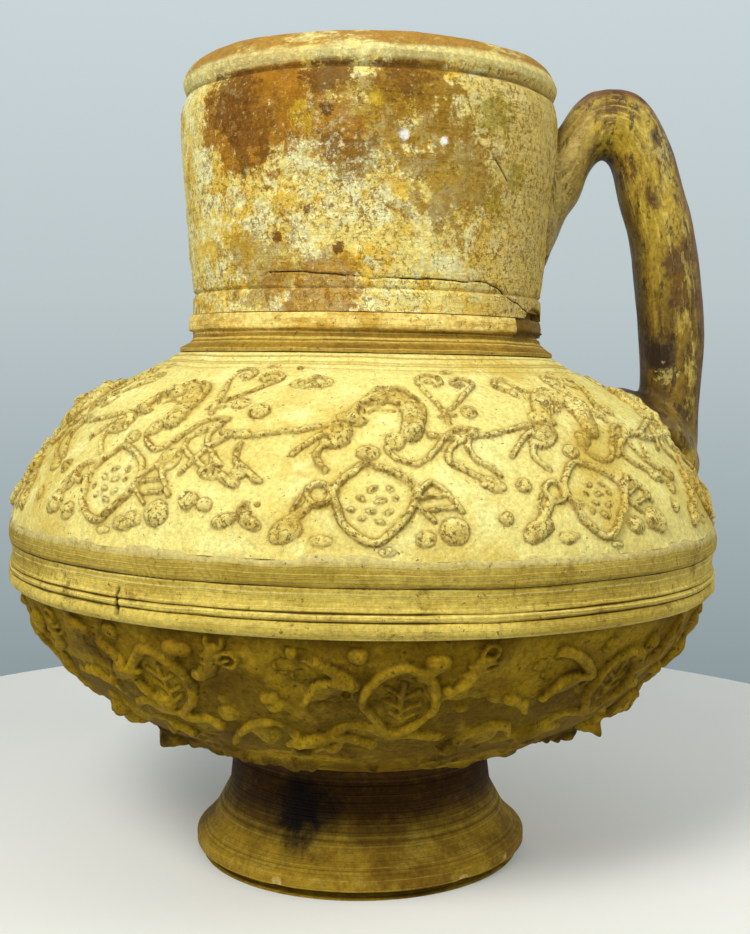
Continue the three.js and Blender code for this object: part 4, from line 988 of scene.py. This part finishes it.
rod_line, rod_half = (outer + inner) / 2, (outer - inner) / 2
rod_way = np.r_[0, np.cumsum(np.hypot(*np.diff(rod_line, axis=0).T))]
bpy.ops.object.select_all(action="DESELECT")
bpy.ops.mesh.primitive_circle_add(vertices=32, radius=1, fill_type="NGON")
handle = bpy.context.object
handle.name = handle.data.name = "handle_rod"
bpy.ops.object.mode_set(mode="EDIT")
for _ in rod_line[1:]:
    bpy.ops.mesh.extrude_region_move(TRANSFORM_OT_translate={"value": (0, 0, 1)})
bpy.ops.object.mode_set(mode="OBJECT")
for vertex in handle.data.vertices:
    k = round(vertex.co.z)
    x, z = rod_line[k] + rod_half[k] * vertex.co.x
    vertex.co = (x * MM, vertex.co.y * ROD_HALF * MM, z * MM)
for place, size, tilt in (((62.5, 0, 224), (6, 17, 24), 4), ((59, 0, 215), (6.4, 16, 15), 2), ((104, 0, 147.5), (16, 23, 7.5), 44),
                          ((110.5, 0, 138), (11, 18, 7), 66), ((97, 0, 154), (11, 18, 5), 32)):
    bpy.ops.mesh.primitive_uv_sphere_add(segments=48, ring_count=24, radius=MM)
    lump = bpy.context.object
    lump.scale = size
    lump.rotation_euler = (0, math.radians(tilt), 0)
    lump.location = [c * MM for c in place]
    bpy.ops.object.transform_apply(location=True, rotation=True, scale=True)
    lump.select_set(True)
    handle.select_set(True)
    bpy.context.view_layer.objects.active = handle
    bpy.ops.object.join()
bpy.ops.object.mode_set(mode="EDIT")
bpy.ops.mesh.select_all(action="SELECT")
bpy.ops.mesh.normals_make_consistent(inside=False)
bpy.ops.object.mode_set(mode="OBJECT")
fused = handle.modifiers.new("fused", "REMESH")
fused.mode = "VOXEL"
fused.voxel_size = 0.0007
bpy.ops.object.modifier_apply(modifier=fused.name)
wiped = handle.modifiers.new("wiped", "SMOOTH")
wiped.factor = 0.5
wiped.iterations = 24
bpy.ops.object.modifier_apply(modifier=wiped.name)
spots = np.array([v.co for v in handle.data.vertices]) / MM
axis = (spots[:, 2] - FOOT_HEIGHT) * LEAN
reach = np.hypot(spots[:, 0] - axis, spots[:, 1])
out = np.where(spots[:, 2] > GROOVE, np.maximum(1, (NECK_WAIST - 1) / reach), 1)
spots[:, 0], spots[:, 1] = axis + (spots[:, 0] - axis) * out, spots[:, 1] * out
normals = np.array([v.normal for v in handle.data.vertices])
nearest = np.concatenate([np.argmin(np.hypot(part[:, :1] - rod_line[:, 0], part[:, 2:] - rod_line[:, 1]), 1)
                          for part in np.array_split(spots, 24)])
depth = ((spots[:, (0, 2)] - rod_line[nearest]) * rod_half[nearest]).sum(1) / np.hypot(*rod_half[nearest].T)
bumps = 0.45 * lumps(spots, (16, 16, 26), 61) + 0.16 * lumps(spots, (3, 3, 14), 62) + 0.12 * lumps(spots, (5, 5, 7), 63)
dent = np.clip(1 - np.hypot(np.hypot((spots[:, 0] - 100.5) / 3.2, (spots[:, 2] - 246) / 4.5), (spots[:, 1] + 12) / 5), 0, 1)
spots += normals * (bumps - 1.6 * dent)[:, None]
handle.data.vertices.foreach_set("co", (spots * MM).astype(np.float32).ravel())
for key, value in (("dent", dent), ("pulled", rod_way[nearest] * MM), ("across", depth * MM)):
    handle.data.attributes.new(key, "FLOAT", "POINT").data.foreach_set("value", value.astype(np.float32))
thinned(handle, 110000)
handle_clay, tree, shader = clay("handled_clay", 0.42, 0.3)
parts = node(tree, "SeparateXYZ", {"Vector": node(tree, "TexCoord").outputs["Object"]}).outputs
pulled = node(tree, "CombineXYZ", {0: times(tree, mark(tree, "pulled"), 70), 1: times(tree, mark(tree, "across"), 620),
                                   2: times(tree, parts["Y"], 620)}).outputs[0]
streaks = node(tree, "TexNoise", {"Vector": pulled, "Scale": 1, "Detail": 5, "Roughness": 0.7, "Distortion": 0.4}).outputs[0]
colour = over(tree, (0.48, 0.33, 0.026, 1), (0.13, 0.06, 0.004, 1), share_of(tree, speckle(tree, 14, 7, 0.75, (1, 1, 2), seed=62), 0.44, 0.56))
colour = over(tree, colour, (0.72, 0.58, 0.13, 1), times(tree, share_of(tree, streaks, 0.52, 0.62), 0.55))
low = share_of(tree, plus(tree, parts["Z"], times(tree, speckle(tree, 18, 4, seed=63), 0.03)), 0.239, 0.183)
browned = over(tree, (0.06, 0.024, 0.002, 1), (0.21, 0.12, 0.007, 1), share_of(tree, speckle(tree, 9, 6, 0.75, (1, 1, 2), seed=71), 0.46, 0.58))
colour = over(tree, colour, browned, times(tree, low, 0.85))
# Painted highlight: a pale streak along the middle of the rod.
crest_highlight = node(tree, "Math", {0: mark(tree, "across"), 1: 0.003}, operation="SUBTRACT").outputs[0]
crest_highlight = share_of(tree, node(tree, "Math", {0: crest_highlight}, operation="ABSOLUTE").outputs[0], 0.006, 0.001)
crest_highlight = times(tree, crest_highlight, share_of(tree, speckle(tree, 6, 6, 0.75, (1, 1, 2.5), seed=72), 0.5, 0.6))
colour = over(tree, colour, (0.66, 0.52, 0.1, 1), times(tree, crest_highlight, 0.7))
root = share_of(tree, plus(tree, parts["X"], times(tree, speckle(tree, 10, 4, seed=64), 0.012)), 0.09, 0.076)
combed = over(tree, (0.62, 0.47, 0.12, 1), (0.34, 0.22, 0.035, 1), share_of(tree, streaks, 0.44, 0.58))
colour = over(tree, colour, combed, times(tree, root, 0.85))
# Painted shade: the rod's outer edge is painted dark reddish brown, and its inner edge, away from the root, near black.
edge = plus(tree, mark(tree, "across"), times(tree, speckle(tree, 12, 5, 0.7, seed=69), 0.005))
colour = over(tree, colour, (0.17, 0.055, 0.004, 1), times(tree, share_of(tree, edge, 0.009, 0.0125), 0.85))
free = node(tree, "Math", {0: 1, 1: root}, operation="SUBTRACT").outputs[0]
inner_edge_shade = times(tree, free, share_of(tree, edge, -0.004, -0.0085))
colour = over(tree, colour, (0.04, 0.018, 0.002, 1), times(tree, inner_edge_shade, 0.8))
seat = share_of(tree, plus(tree, parts["Z"], times(tree, speckle(tree, 12, 4, seed=65), 0.02)), 0.162, 0.142)
colour = over(tree, colour, (0.5, 0.34, 0.04, 1), times(tree, seat, 0.75))
sooty = patch(tree, (99, -11, 172), 9, 73, 6)
colour = over(tree, colour, (0.025, 0.012, 0.003, 1), sooty)
# Painted highlights: two pale patches on the front of the rod.
colour = over(tree, colour, (0.6, 0.5, 0.14, 1), times(tree, patch(tree, (105, -12, 166), 3.6, 74, 4, 2.4), 0.7))
colour = over(tree, colour, (0.62, 0.52, 0.16, 1), times(tree, patch(tree, (103, -12, 241), 4.6, 75, 4, 2.4), 0.65))
colour = over(tree, colour, (0.03, 0.012, 0.002, 1), times(tree, share_of(tree, speckle(tree, 4, 7, 0.8, (1, 1, 2), seed=66), 0.53, 0.6), 0.8))
colour = over(tree, colour, (0.015, 0.008, 0.004, 1), mark(tree, "dent"))
tree.links.new(grained(tree, colour, 1.8, 0.4, 76), shader.inputs["Base Color"])
gloss = node(tree, "MapRange", {"Value": speckle(tree, 7, 5, 0.7, seed=67), "From Min": 0.35, "From Max": 0.65, "To Min": 0.28, "To Max": 0.6})
tree.links.new(gloss.outputs[0], shader.inputs["Roughness"])
rough_skin(tree, shader, [(streaks, 0.8), (speckle(tree, 1.4, 5, 0.7, (1, 1, 2.5), seed=68), 0.35)])
fitted(handle, handle_clay, "handle_clay", "handle", "handle_upper_pad", "handle_lower_pad")
